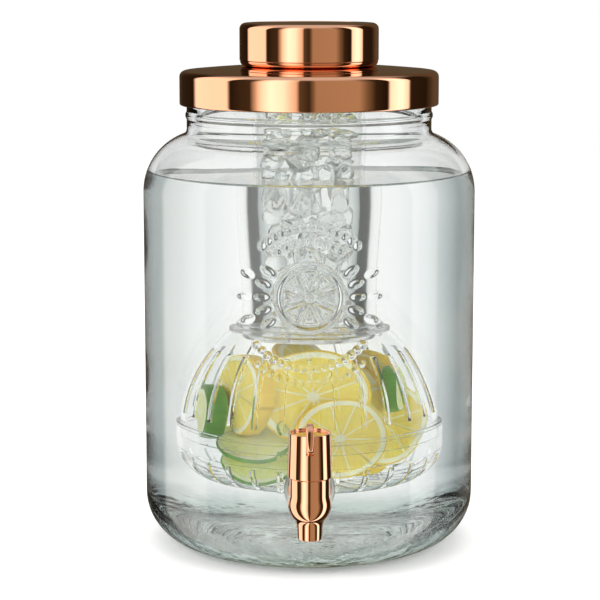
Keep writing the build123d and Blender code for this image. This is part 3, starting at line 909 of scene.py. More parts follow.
@dataclass(frozen=True)
class LidShell:
    """The spun metal lid: a low dome, a straight skirt and a rolled hem, all of thin sheet."""

    sheet: float = 0.0008
    dome: float = 0.0044
    corner: float = 0.0040
    hem: float = 0.0012
    columns: int = 256

    def mesh(self) -> bpy.types.Mesh:
        """Makes the lid's mesh. The dome falls with the square of the radius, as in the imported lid."""
        low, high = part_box("lid_shell")
        radius = high.y
        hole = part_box("lid_collar")[1].y - 0.0059
        crown = high.z + self.dome * (hole / radius) ** 2
        inner = radius - self.sheet

        def domed(start: float, end: float, drop: float) -> np.ndarray:
            """The dome's outline: the height falls with the square of the radius."""
            steps = np.linspace(start, end, 14)
            return np.column_stack((steps, crown - drop - self.dome * (steps / radius) ** 2))

        corner = radius - self.corner
        corner_height = crown - self.dome * (corner / radius) ** 2 - self.corner
        hem = low.z + self.hem
        outline = np.concatenate(
            (
                domed(hole, corner, 0.0),
                arc((corner, corner_height), self.corner, 82, 0, 12),
                run((radius, corner_height - 0.002), (radius, hem + 0.0012), 4),
                arc((radius - self.hem, hem), self.hem, 0, -200, 14),
                run((inner, hem + 0.002), (inner, corner_height), 3),
                arc((corner, corner_height), self.corner - self.sheet, 0, 82, 8)[1:],
                domed(corner, hole, self.sheet),
            )
        )
        return turned_mesh("lid_copper", outline, self.columns, closed=True)


@dataclass(frozen=True)
class Collar:
    """The copper-coloured ring under the cap, with spanner notches in its top."""

    width: float = 0.0059
    rounding: float = 0.0030
    notches: int = 6
    notch_half: float = 0.0025
    notch_depth: float = 0.0012
    columns: int = 288

    def mesh(self) -> bpy.types.Mesh:
        """Makes the collar's mesh. In the notches' columns the inner part of the top is lower."""
        low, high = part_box("lid_collar")
        outer = high.y
        inner = outer - self.width
        outline = rounded(
            (
                (inner, low.z, 0.0002),
                (outer, low.z, self.rounding),
                (outer, high.z, 0.0002),
                (inner + 0.0032, high.z, 0.00005),
                (inner, high.z, 0.0002),
            ),
            closed=True,
            count=9,
        )
        angles = full_turn(self.columns)
        grid = spin(outline, angles)
        step = 2 * np.pi / self.notches
        off = np.abs((angles + step / 2) % step - step / 2) * inner
        lowered = np.clip((self.notch_half - off) / 0.0004, 0, 1)[None]
        reach = (outline[:, 0] < inner + 0.00325) & (outline[:, 1] > high.z - 0.0003)
        grid[..., 2] -= np.where(reach[:, None], lowered * self.notch_depth, 0.0)
        builder = MeshBuilder()
        builder.grid(grid, wrap_rows=True)
        return builder.build("lid_collar_copper")


@dataclass(frozen=True)
class CapShell:
    """The spun metal cap: a drum with a rounded top edge."""

    sheet: float = 0.0008
    corner: float = 0.0040
    columns: int = 224

    def mesh(self) -> bpy.types.Mesh:
        """Makes the cap's mesh. The top is crowned by a fifth of a millimetre, as spun sheet is."""
        low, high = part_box("cap_shell")
        radius, top = high.y, high.z
        steps = np.linspace(0, radius - self.corner, 8)
        crowned = np.column_stack((steps, top - 0.0002 * (steps / radius) ** 2))
        center = (radius - self.corner, top - self.corner)
        outline = np.concatenate(
            (
                crowned,
                arc(center, self.corner, 88, 0, 14),
                rounded(
                    (
                        (radius, center[1] - 0.001, 0),
                        (radius, low.z, 0.00035),
                        (radius - self.sheet, low.z, 0.00035),
                        (radius - self.sheet, center[1], 0),
                    )
                ),
                arc(center, self.corner - self.sheet, 0, 88, 8)[1:],
                crowned[::-1] - (0, self.sheet),
            )
        )
        return turned_mesh("cap_copper", outline, self.columns, closed=False)


@dataclass(frozen=True)
class IceTube:
    """The clear tube: a neck, a flange, a tapered body, a stop ring and three lugs."""

    wall: float = 0.0022
    floor: float = 0.0025
    neck_radius: float = 0.0395
    neck_wall: float = 0.0029
    top_radius: float = 0.0384
    bottom_radius: float = 0.0334
    flange: float = 0.0030
    floor_round: float = 0.0030
    stop_width: float = 0.0032
    stop_height: float = 0.0025
    lugs: int = 3
    lug_angle: float = 24.0
    lug_height: float = 0.0036
    lug_reach: float = 0.0364
    gap: float = 0.00025
    columns: int = 144

    def flange_top(self) -> float:
        """The height of the flange's upper face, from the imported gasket."""
        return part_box("tube_gasket")[0].z

    def inner_radius(self, height: float) -> float:
        """The inside radius at a height."""
        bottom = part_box("ice_tube")[0].z
        share = (height - bottom) / (self.flange_top() - self.flange - bottom)
        return self.bottom_radius + (self.top_radius - self.bottom_radius) * share - self.wall

    def mesh(self) -> bpy.types.Mesh:
        """Makes the tube's mesh: one turned outline, and lugs that start inside its wall."""
        low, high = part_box("ice_tube")
        flange_top = self.flange_top()
        flange_bottom = flange_top - self.flange
        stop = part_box("infuser_dome")[1].z + self.gap
        taper = (self.top_radius - self.bottom_radius) / (flange_bottom - low.z)
        at_stop = self.bottom_radius + taper * (stop - low.z)
        flange_radius = high.y
        outline = rounded(
            (
                (0, low.z, 0),
                (self.bottom_radius, low.z, self.floor_round),
                (at_stop, stop, 0.0002),
                (at_stop + self.stop_width, stop, 0.0004),
                (at_stop + self.stop_width, stop + self.stop_height, 0.0004),
                (at_stop + taper * self.stop_height, stop + self.stop_height, 0.0004),
                (self.top_radius, flange_bottom, 0.0004),
                (flange_radius, flange_bottom, 0.0004),
                (flange_radius, flange_top, 0.0004),
                (self.neck_radius, flange_top, 0.0004),
                (self.neck_radius, high.z, 0.0005),
                (self.neck_radius - self.neck_wall, high.z, 0.0005),
                (self.neck_radius - self.neck_wall, flange_top, 0.0008),
                (self.top_radius - self.wall, flange_bottom - self.wall, 0.0008),
                (self.bottom_radius - self.wall, low.z + self.floor, 0.0022),
                (0, low.z + self.floor, 0),
            )
        )
        builder = MeshBuilder()
        builder.grid(spin(outline, full_turn(self.columns)))
        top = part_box("infuser_dome")[1].z - 0.0025 - self.gap
        section = rounded(
            (
                (self.bottom_radius - 0.001, top - self.lug_height, 0),
                (self.lug_reach, top - self.lug_height, 0.0006),
                (self.lug_reach, top, 0.0006),
                (self.bottom_radius - 0.001, top, 0),
            )
        )
        half = math.radians(self.lug_angle / 2)
        for i in range(self.lugs):
            angles = np.linspace(-half, half, 9) + i * 2 * np.pi / self.lugs
            first = builder.grid(spin(section, angles), wrap_rows=True, wrap_columns=False)
            rows = np.arange(len(section)) * len(angles) + first
            builder.cap(rows[::-1])
            builder.cap(rows + len(angles) - 1)
        return builder.build("ice_tube_clear")


@dataclass(frozen=True)
class Ice:
    """The crushed ice in the tube: rounded chunks, packed in turned layers."""

    tube: IceTube
    top: float = 0.287
    layer: float = 0.0098
    size: float = 0.0076
    around: int = 6
    seed: int = 11

    def chunk(self, rng: np.random.Generator, center: np.ndarray, size: float) -> np.ndarray:
        """One chunk as a grid of points.

        Args:
            rng: The source of its shape.
            center: Its middle.
            size: Its mean half width.

        Returns:
            A squared-off ball, with each side's width changed, a few flats pressed in, and turned at random.
        """
        v, u = np.meshgrid(np.linspace(-np.pi / 2, np.pi / 2, 11), full_turn(16), indexing="ij")

        def squared(value: np.ndarray) -> np.ndarray:
            """The value's size to a power below one, with its sign, which squares a ball off."""
            return np.sign(value) * np.abs(value) ** 0.62

        ball = np.stack(
            (
                squared(np.cos(v)) * squared(np.cos(u)),
                squared(np.cos(v)) * squared(np.sin(u)),
                squared(np.sin(v)),
            ),
            2,
        )
        for _ in range(4):
            normal = rng.normal(size=3)
            normal /= np.linalg.norm(normal)
            over = np.maximum(ball @ normal - rng.uniform(0.62, 0.9), 0)
            ball = ball - over[..., None] * normal * 0.9
        ball = ball * rng.uniform(0.78, 1.16, 3)
        turn, _ = np.linalg.qr(rng.normal(size=(3, 3)))
        return ball @ turn.T * size + center

    def mesh(self) -> bpy.types.Mesh:
        """Makes the ice's mesh: chunks in a ring round one in the middle, layer on layer."""
        rng = np.random.default_rng(self.seed)
        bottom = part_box("ice_tube")[0].z + self.tube.floor
        builder = MeshBuilder()
        height = bottom + self.size
        turn = 0.0
        while height < self.top:
            room = self.tube.inner_radius(height)
            ring = room - self.size * 1.42
            spots = [(0.0, 0.0)] + [(ring, turn + i * 2 * np.pi / self.around) for i in range(self.around)]
            for reach, angle in spots:
                shift = rng.uniform(-0.001, 0.001, 3) * (0.6, 0.6, 2.0)
                center = np.array((reach * math.cos(angle), reach * math.sin(angle), height)) + shift
                builder.grid(self.chunk(rng, center, self.size * rng.uniform(0.9, 1.02)))
            height += self.layer
            turn += 2.4
        return builder.build("ice_chunks", sharp=38.0)


# ----------------------------------------------------------------------------------------------------
# The infuser and its fruit


@dataclass(frozen=True)
class SlottedShell:
    """A thin turned shell with evenly spaced slots of one width. Rows and columns follow the slots' edges."""

    slots: int = 24
    slot_width: float = 0.003
    rib_steps: int = 6

    def columns_at(self, radius: np.ndarray) -> np.ndarray:
        """The columns' angles at each row.

        Args:
            radius: The rows' radii.

        Returns:
            Angles shaped (rows, columns). In each of the slots' periods the first two columns are a slot's
            edges, half its width from its middle, and the rest divide the rib after it evenly.
        """
        period = 2 * np.pi / self.slots
        half = np.arcsin(np.clip(self.slot_width / 2 / np.maximum(radius, 0.006), 0, 0.9))
        half = np.minimum(half, period * 0.3)[:, None]
        share = np.linspace(0, 1, self.rib_steps + 1)[None, :-1]
        rib = half + share * (period - 2 * half)
        one = np.concatenate((-half, rib), 1)
        return (one[:, None] + period * np.arange(self.slots)[None, :, None]).reshape(len(radius), -1)

    def shell(self, builder: MeshBuilder, outer: np.ndarray, inner: np.ndarray, cut: slice) -> None:
        """Adds a shell with its slots to a mesh.

        Args:
            builder: The mesh.
            outer: The outer outline, (radius, height) rows.
            inner: The inner outline, row for row with the outer one.
            cut: The rows that the slots run through, as the quads between them.
        """
        per = self.rib_steps + 1
        grids = []
        for outline in (outer, inner):
            angles = self.columns_at(outline[:, 0])
            grids.append(
                np.stack(
                    (
                        outline[:, :1] * np.cos(angles),
                        outline[:, :1] * np.sin(angles),
                        np.broadcast_to(outline[:, 1:], angles.shape),
                    ),
                    2,
                )
            )
        rows, count = grids[0].shape[:2]
        keep = np.ones((rows - 1, count), bool)
        keep[cut, ::per] = False
        first = builder.grid(grids[0], keep=keep)
        second = builder.grid(grids[1], keep=keep, flip=True)
        shift = second - first
        slot_columns = np.arange(0, count, per)
        along = np.arange(rows - 1)[cut]
        for offset in (0, 1):
            a = first + along[:, None] * count + (slot_columns + offset)[None]
            b = a + count
            self.walls(builder, a, b, shift)
        for row in (along[0], along[-1] + 1):
            a = first + row * count + slot_columns
            self.walls(builder, a, a + 1, shift)
        ends = [row for row, outline in ((0, outer[0]), (rows - 1, outer[-1])) if outline[0] > 1e-6]
        for row in ends:
            a = first + row * count + np.arange(count)
            b = first + row * count + (np.arange(count) + 1) % count
            self.walls(builder, a, b, shift)

    @staticmethod
    def walls(builder: MeshBuilder, a: np.ndarray, b: np.ndarray, shift: int) -> None:
        """Adds the quads from each outer edge a-b to the inner one."""
        a, b = a.reshape(-1), b.reshape(-1)
        builder.quads(np.stack((a, b, b + shift, a + shift), 1))


@dataclass(frozen=True)
class InfuserDome(SlottedShell):
    """The infuser's slotted dome, with a flange at its top."""

    wall: float = 0.0022
    height: float = 0.0645
    bulge: float = 0.0055
    flange: float = 0.0025
    flange_step: float = 0.0006
    socket: float = 0.0342
    slot_rise: float = 0.007
    slot_drop: float = 0.013

    def mesh(self) -> bpy.types.Mesh:
        """Makes the dome's mesh. Its side is an arc through the foot and the flange, with the packed
        dome's bulge."""
        low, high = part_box("infuser_dome")
        radius = high.y
        band_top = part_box("infuser_bowl")[1].z
        top = high.z - self.flange
        flange_radius = self.socket - 0.0008 + 0.0073
        end = flange_radius - self.flange_step
        drop = radius - end
        chord = math.hypot(self.height, drop)
        curve = chord**2 / (8 * self.bulge) + self.bulge / 2
        inset = curve - self.bulge
        center_radius = (radius + end) / 2 - inset * self.height / chord
        center_height = (band_top + top) / 2 - inset * drop / chord
        breaks = (band_top, band_top + self.slot_rise, top - self.slot_drop, top)
        heights = np.concatenate(
            (
                np.linspace(breaks[0], breaks[1], 4)[:-1],
                np.linspace(breaks[1], breaks[2], 17)[:-1],
                np.linspace(breaks[2], breaks[3], 6),
            )
        )

        def side(offset: float) -> np.ndarray:
            """The wall's arc, set in by the offset: reach is the circle's distance out at each height."""
            reach = center_radius + np.sqrt((curve - offset) ** 2 - (heights - center_height) ** 2)
            return np.column_stack((reach, heights))

        skirt = np.array(((radius, low.z), (radius, (low.z + band_top) / 2)))
        outer = np.concatenate((skirt, side(0.0)))
        inner = np.concatenate((skirt - (self.wall, 0), side(self.wall)))
        inner = np.column_stack((np.maximum(inner[:, 0], self.socket + 0.0001), inner[:, 1]))
        cut = slice(5, 21)
        builder = MeshBuilder()
        self.shell(builder, outer, inner, cut)
        section = rounded(
            (
                (self.socket, top - 0.0001, 0.0003),
                (flange_radius, top - 0.0001, 0.0008),
                (flange_radius, high.z, 0.0010),
                (self.socket, high.z, 0.0004),
            ),
            closed=True,
        )
        builder.grid(spin(section, full_turn(144)), wrap_rows=True)
        return builder.build("infuser_dome_clear")


@dataclass(frozen=True)
class InfuserBowl(SlottedShell):
    """The infuser's bowl: a band with a lip round its top, a rounded corner and slots that run under the
    floor."""

    wall: float = 0.0022
    corner: float = 0.019
    floor_start: float = 0.024
    floor_rise: float = 0.015

    def mesh(self) -> bpy.types.Mesh:
        """Makes the bowl's mesh: the slotted floor and corner, and the band as one turned ring."""
        low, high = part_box("infuser_bowl")
        radius = high.y
        bend = low.z + self.corner
        arc_rows = 15
        outer = np.concatenate(
            (
                run((0.0, low.z), (self.floor_start, low.z), 4)[:-1],
                run((self.floor_start, low.z), (radius - self.corner, low.z), 5)[:-1],
                arc((radius - self.corner, bend), self.corner, -90, 0, arc_rows),
            )
        )
        tight = self.corner - self.wall
        inner = np.concatenate(
            (
                run((0.0, low.z + self.wall), (self.floor_start, low.z + self.wall), 4)[:-1],
                run((self.floor_start, low.z + self.wall), (radius - self.corner, low.z + self.wall), 5)[:-1],
                arc((radius - self.corner, bend), tight, -90, 0, arc_rows),
            )
        )
        last = int(np.searchsorted(outer[7:, 1], low.z + self.floor_rise)) + 7
        builder = MeshBuilder()
        self.shell(builder, outer, inner, slice(3, last))
        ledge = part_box("infuser_dome")[0].z - 0.0001
        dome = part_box("infuser_dome")[1].y
        section = rounded(
            (
                (radius - self.wall - 0.0001, bend - 0.0001, 0),
                (radius, bend - 0.0001, 0),
                (radius + 0.0, high.z, 0.0008),
                (dome + 0.0006, high.z, 0.0004),
                (dome + 0.0006, high.z - 0.0025, 0.0003),
                (radius - 0.0019, high.z - 0.0025, 0.0003),
                (radius - 0.0019, ledge, 0.0003),
                (dome - 0.0012, ledge, 0.0003),
            ),
            closed=True,
        )
        builder.grid(spin(section, full_turn(168)), wrap_rows=True)
        return builder.build("infuser_bowl_clear")


@dataclass(frozen=True)
class Slice:
    """A citrus slice or a wedge of one.

    Fields:
        kind: Lemon or lime.
        center: Its middle.
        radius: Its radius.
        lean: How far its face leans back from upright, in degrees. 90 lies flat.
        turn: How far its face is turned about Z from facing the tap's side, in degrees.
        roll: How far it is turned in its own plane, in degrees.
        part: The share of the full circle that is there.
        body: The body that it lies in.
    """

    kind: Fruit
    center: Point
    radius: float
    lean: float
    turn: float
    roll: float = 0.0
    part: float = 1.0
    body: Body = Body.BOWL
    thickness: float = 0.0055
    segments: int = 10
    seed: int = 1

    def mesh(self, name: str) -> bpy.types.Mesh:
        """Makes the slice's mesh.

        Args:
            name: The mesh's name.

        Returns:
            Two faces that dip along the membranes, joined by a rounded rind. The outline wavers by a
            percent or two, and the slice is slightly bowed, as a cut slice is.
        """
        rng = np.random.default_rng(self.seed)
        whole = self.part > 0.99
        columns = 80 if whole else 49
        angles = full_turn(columns) if whole else np.linspace(0, 2 * np.pi * self.part, columns)
        shares = np.array((0.0, 0.1, 0.25, 0.42, 0.58, 0.72, 0.82, 0.9, 0.96))
        half = self.thickness / 2
        bend = rng.uniform(0, 2 * np.pi)
        waver = 1 + 0.016 * np.sin(2 * angles + bend) + 0.008 * np.sin(5 * angles + 2 * bend)
        dip = 0.00045 * np.abs(np.sin(angles * self.segments / 2)) ** 0.5
        rows, heights, rinds = [], [], []
        for share in shares:
            rows.append(share)
            heights.append(half - 0.0003 + dip * (0.15 < share < 0.83))
            rinds.append(share)
        for turn in np.radians((70, 40, 0, -40, -70)):
            rows.append(1 - 0.0012 / self.radius * (1 - math.cos(turn)))
            heights.append(np.full(columns, half * math.sin(turn)))
            rinds.append(1.0)
        for share in shares[::-1]:
            rows.append(share)
            heights.append(-half + 0.0003 - dip * (0.15 < share < 0.83))
            rinds.append(share)
        reach = np.array(rows)[:, None] * self.radius * waver[None]
        x, y = reach * np.cos(angles), reach * np.sin(angles)
        bow = 0.9 * (x * math.cos(bend) + y * math.sin(bend)) ** 2 / self.radius
        z = np.array([np.broadcast_to(h, columns) for h in heights]) + bow * 0.12
        grid = np.stack((x, z, y), 2)
        builder = MeshBuilder()
        first = builder.grid(self.placed(grid), wrap_columns=whole)
        count = np.broadcast_to(angles * self.segments / (2 * np.pi), x.shape)
        builder.uvs.append(
            np.stack((np.broadcast_to(np.array(rinds)[:, None], x.shape), count), 2).reshape(-1, 2)
        )
        if not whole:
            column = np.arange(len(rows)) * columns + first
            builder.cap(column)
            builder.cap((column + columns - 1)[::-1])
        return builder.build(name, sharp=60.0)

    def placed(self, grid: np.ndarray) -> np.ndarray:
        """Turns the slice from lying in the X-Z plane to its place: roll, lean, turn, then move."""
        roll, lean, turn = (math.radians(a) for a in (self.roll, -self.lean, self.turn))
        spin_y = np.array(
            ((math.cos(roll), 0, math.sin(roll)), (0, 1, 0), (-math.sin(roll), 0, math.cos(roll)))
        )
        spin_x = np.array(
            ((1, 0, 0), (0, math.cos(lean), -math.sin(lean)), (0, math.sin(lean), math.cos(lean)))
        )
        spin_z = np.array(
            ((math.cos(turn), -math.sin(turn), 0), (math.sin(turn), math.cos(turn), 0), (0, 0, 1))
        )
        return grid @ (spin_z @ spin_x @ spin_y).T + np.array(self.center)


def fruit() -> list[Slice]:
    """The fruit in the infuser, where each piece lies."""
    lemon, lime = Fruit.LEMON, Fruit.LIME
    return [
        Slice(lemon, (0.002, -0.036, 0.1075), 0.0310, 10, -3, 12, seed=3),
        Slice(lemon, (0.017, -0.0445, 0.0810), 0.0265, 6, 10, 40, seed=4),
        Slice(lime, (-0.0265, -0.0255, 0.0635), 0.0215, 52, -10, 0, thickness=0.0035, seed=5),
        Slice(lime, (-0.029, -0.030, 0.0765), 0.0215, 66, -16, 70, thickness=0.0035, seed=6),
        Slice(lemon, (-0.033, -0.020, 0.1065), 0.0260, 4, -72, 10, thickness=0.011, seed=7),
        Slice(lime, (-0.0505, -0.007, 0.0920), 0.0175, 2, -90, 95, thickness=0.012, seed=8),
        Slice(lime, (0.0440, -0.008, 0.1080), 0.0165, 6, 86, 60, thickness=0.008, seed=9),
        Slice(lemon, (0.0375, -0.006, 0.0850), 0.0265, 8, 38, 25, seed=10),
        Slice(lemon, (0.006, 0.030, 0.1000), 0.0300, 12, 172, 0, seed=11),
        Slice(lime, (-0.026, 0.032, 0.0840), 0.0230, 20, 215, 0, seed=12),
        Slice(lemon, (0.010, 0.010, 0.0580), 0.0290, 84, 20, 0, seed=13),
        Slice(lemon, (0.000, -0.004, 0.1180), 0.0250, 30, 60, 0, seed=14),
        Slice(lemon, (0.032, 0.026, 0.1120), 0.0205, 20, 130, 0, seed=15),
        Slice(lime, (-0.011, -0.042, 0.0850), 0.0090, 40, 60, 0, 0.5, thickness=0.002, seed=16),
    ]


# ----------------------------------------------------------------------------------------------------
# The tap


@dataclass(frozen=True)
class Tap:
    """The copper-coloured tap: an upright barrel and spout, a round housing behind it, and a threaded
    shank."""

    barrel: float = 0.0126
    bulb: float = 0.0135
    bulb_height: float = 0.058
    spout_top: float = 0.0084
    spout_tip: float = 0.0075
    spout_bore: float = 0.0055
    turret: float = 0.0110
    barrel_bore: float = 0.0091
    seat: float = 0.052
    pipe: float = 0.0095
    flange: float = 0.0134
    flange_thickness: float = 0.003
    shank: float = 0.0080
    shank_bore: float = 0.0045
    thread_pitch: float = 0.0020
    thread_depth: float = 0.0006

    @property
    def axis(self) -> float:
        """The turning axis's place along Y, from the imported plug."""
        low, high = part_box("tap_plug")
        return (low.y + high.y) / 2

    def mesh(self, jar: Jar) -> bpy.types.Mesh:
        """Makes the tap body's mesh: the upright, and the housing with the shank, which pass into each
        other."""
        low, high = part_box("tap_body")
        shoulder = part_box("tap_handle")[0].z - 0.0003
        root = self.bulb_height - math.sqrt(self.bulb**2 - self.spout_top**2)
        waist = math.degrees(math.acos(self.barrel / self.bulb))
        spout = (
            (self.spout_bore, low.z + 0.004, 0.0),
            (self.spout_bore, low.z, 0.0004),
            (self.spout_tip, low.z, 0.0005),
            (self.spout_top - 0.0001, root - 0.0016, 0.0),
        )
        top = (
            (self.barrel, self.bulb_height + 0.006, 0.0),
            (self.barrel, shoulder, 0.0005),
            (self.turret, shoulder, 0.0003),
            (self.turret, high.z, 0.0005),
            (self.barrel_bore, high.z, 0.0004),
            (self.barrel_bore, self.seat, 0.0),
            (self.spout_bore, self.seat, 0.0),
        )
        bulb = arc((0, self.bulb_height), self.bulb, -46, waist, 20)
        upright = np.concatenate((rounded(spout), bulb, rounded(top)))
        builder = MeshBuilder()
        builder.grid(spin(upright, full_turn(144)) + (0, self.axis, 0), wrap_rows=True)
        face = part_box("outer_washer")[0].y
        front = self.axis + 0.001
        body = rounded(
            (
                (0, front, 0),
                (self.pipe, front, 0.001),
                (self.pipe, face - self.flange_thickness, 0.0012),
                (self.flange, face - self.flange_thickness, 0.0004),
                (self.flange, face, 0.0004),
                (self.shank, face, 0.0),
            ),
            count=9,
        )
        steps = int((high.y - 0.001 - face) / self.thread_pitch * 8)
        thread = run((self.shank, face + 0.0002), (self.shank, high.y - 0.0005), steps)
        end = np.array(
            (
                (self.shank - 0.0006, high.y),
                (self.shank_bore, high.y),
                (self.shank_bore, self.axis + 0.010),
            )
        )
        outline = np.concatenate((body, thread, end, ((0, self.axis + 0.010),)))
        angles = full_turn(96)
        radius, place = outline[:, :1], outline[:, 1:]
        places = np.arange(len(outline))
        threaded = (places >= len(body)) & (places < len(body) + len(thread))
        phase = (place / self.thread_pitch - angles[None] / (2 * np.pi)) % 1.0
        depth = np.where(threaded[:, None], np.abs(phase - 0.5) * 2 * self.thread_depth, 0.0)
        reach = radius - depth
        grid = np.stack(
            (
                reach * np.cos(angles),
                np.broadcast_to(place, reach.shape),
                reach * np.sin(angles) + jar.tap_height,
            ),
            2,
        )
        builder.grid(grid)
        return builder.build("tap_body_copper")

    def washer_mesh(self, jar: Jar) -> bpy.types.Mesh:
        """Makes the soft washer between the flange and the jar. Its back follows the jar's curve."""
        low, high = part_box("outer_washer")
        radius = high.x
        inner = self.shank + 0.00005
        angles = full_turn(96)
        front = rounded(((inner, low.y, 0), (radius, low.y, 0.0008), (radius, low.y + 0.003, 0)))
        rows = []
        for reach, place in front:
            rows.append(np.stack((reach * np.cos(angles), np.full(96, place), reach * np.sin(angles)), 1))
        for reach in (radius, (radius + inner) / 2, inner):
            x = reach * np.cos(angles)
            back = -np.sqrt((jar.radius + 0.00005) ** 2 - x**2)
            rows.append(np.stack((x, back, reach * np.sin(angles)), 1))
        builder = MeshBuilder()
        builder.grid(np.stack(rows) + (0, 0, jar.tap_height), wrap_rows=True)
        return builder.build("tap_washer_clear")


@dataclass(frozen=True)
class TapHandle:
    """The turning handle: a conical skirt, a shallow recess and a thin thumb fin over its front."""

    top_radius: float = 0.0129
    wall: float = 0.0015
    recess: float = 0.0014
    fin_thickness: float = 0.0048
    fin_root: float = 0.0015
    fin_peak: float = 0.0130
    fin_rise: float = 0.0082
    fin_reach: float = 0.0215
    fin_drop: float = 0.013
    rounding: float = 0.0011

    def fin(self, top: float) -> np.ndarray:
        """The fin's outline as (forward, height) rows, counterclockwise.

        Args:
            top: The height of the handle's rim.

        Returns:
            Points along three arcs: up from the recess to the peak, round the nose, and down the front.
        """
        peak = top + self.fin_rise
        foot = (self.top_radius - self.wall / 2, top - self.fin_drop)
        floor = top - self.recess - 0.0004
        nose = (self.fin_reach, top + 0.0005)
        curves = (
            (
                (self.fin_root, floor),
                ((self.fin_root + self.fin_peak) / 2 - 0.002, peak - 0.0026),
                (self.fin_peak, peak),
            ),
            ((self.fin_peak, peak), (self.fin_reach - 0.0018, peak - 0.0022), nose),
            (nose, ((nose[0] + foot[0]) / 2 + 0.0015, top - self.fin_drop / 2), foot),
        )
        rows = [through(*curve, 14)[:-1] for curve in curves]
        outline = np.concatenate((*rows, (foot,), run((foot[0], foot[1] + 0.004), (foot[0], floor), 4)))
        return outline[::-1]

    def mesh(self, axis: float) -> bpy.types.Mesh:
        """Makes the handle's mesh about the tap's turning axis. The fin's long edges are rounded."""
        low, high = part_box("tap_handle")
        top = high.z - self.fin_rise
        bottom_radius = high.x
        plate = top - self.recess
        inner = bottom_radius - 0.0026
        outline = rounded(
            (
                (0, plate, 0),
                (self.top_radius - self.wall, plate, 0.0004),
                (self.top_radius - self.wall, top, 0.0005),
                (self.top_radius, top, 0.0006),
                (bottom_radius, low.z, 0.0005),
                (inner, low.z, 0.0003),
                (inner, plate - self.wall, 0.0005),
                (0, plate - self.wall, 0),
            ),
            count=7,
        )
        builder = MeshBuilder()
        builder.grid(spin(outline, full_turn(144)))
        fin = self.fin(top)
        ahead, behind = np.roll(fin, -1, 0), np.roll(fin, 1, 0)
        tangent = ahead - behind
        tangent /= np.linalg.norm(tangent, axis=1)[:, None]
        inward = np.column_stack((-tangent[:, 1], tangent[:, 0]))
        half = self.fin_thickness / 2
        turns = np.radians(np.linspace(0, 90, 6))
        offsets = [
            (self.rounding * (1 - math.sin(t)), half - self.rounding * (1 - math.cos(t))) for t in turns
        ]
        section = offsets + [(o, -x) for o, x in offsets[::-1]]
        rows = []
        for inset, side in section:
            moved = fin + inward * inset
            rows.append(np.stack((np.full(len(fin), side), -moved[:, 0], moved[:, 1]), 1))
        first = builder.grid(np.stack(rows))
        last = first + (len(section) - 1) * len(fin)
        builder.cap(np.arange(first, first + len(fin)))
        builder.cap(np.arange(last, last + len(fin))[::-1])
        builder.points = [p + (0, axis, 0) for p in builder.points]
        return builder.build("tap_handle_copper")


def through(
    start: tuple[float, float], middle: tuple[float, float], end: tuple[float, float], count: int
) -> np.ndarray:
    """Points on the circle through three points, from start to end.

    Args:
        start: The first point.
        middle: A point on the arc.
        end: The last point.
        count: How many points, the two ends included.

    Returns:
        An array of (x, y) rows. The centre is where the bisectors of start-middle and middle-end meet.
    """
    a, b, c = (np.array(p, float) for p in (start, middle, end))
    matrix = 2 * np.array((b - a, c - b))
    center = np.linalg.solve(matrix, np.array((b @ b - a @ a, c @ c - b @ b)))
    angles = [math.atan2(*(p - center)[::-1]) for p in (a, b, c)]
    turn = (angles[2] - angles[0]) % (2 * math.pi)
    if (angles[1] - angles[0]) % (2 * math.pi) > turn:
        turn -= 2 * math.pi
    steps = angles[0] + np.linspace(0, turn, count)
    return center + np.linalg.norm(a - center) * np.column_stack((np.cos(steps), np.sin(steps)))


# ----------------------------------------------------------------------------------------------------
# The studio


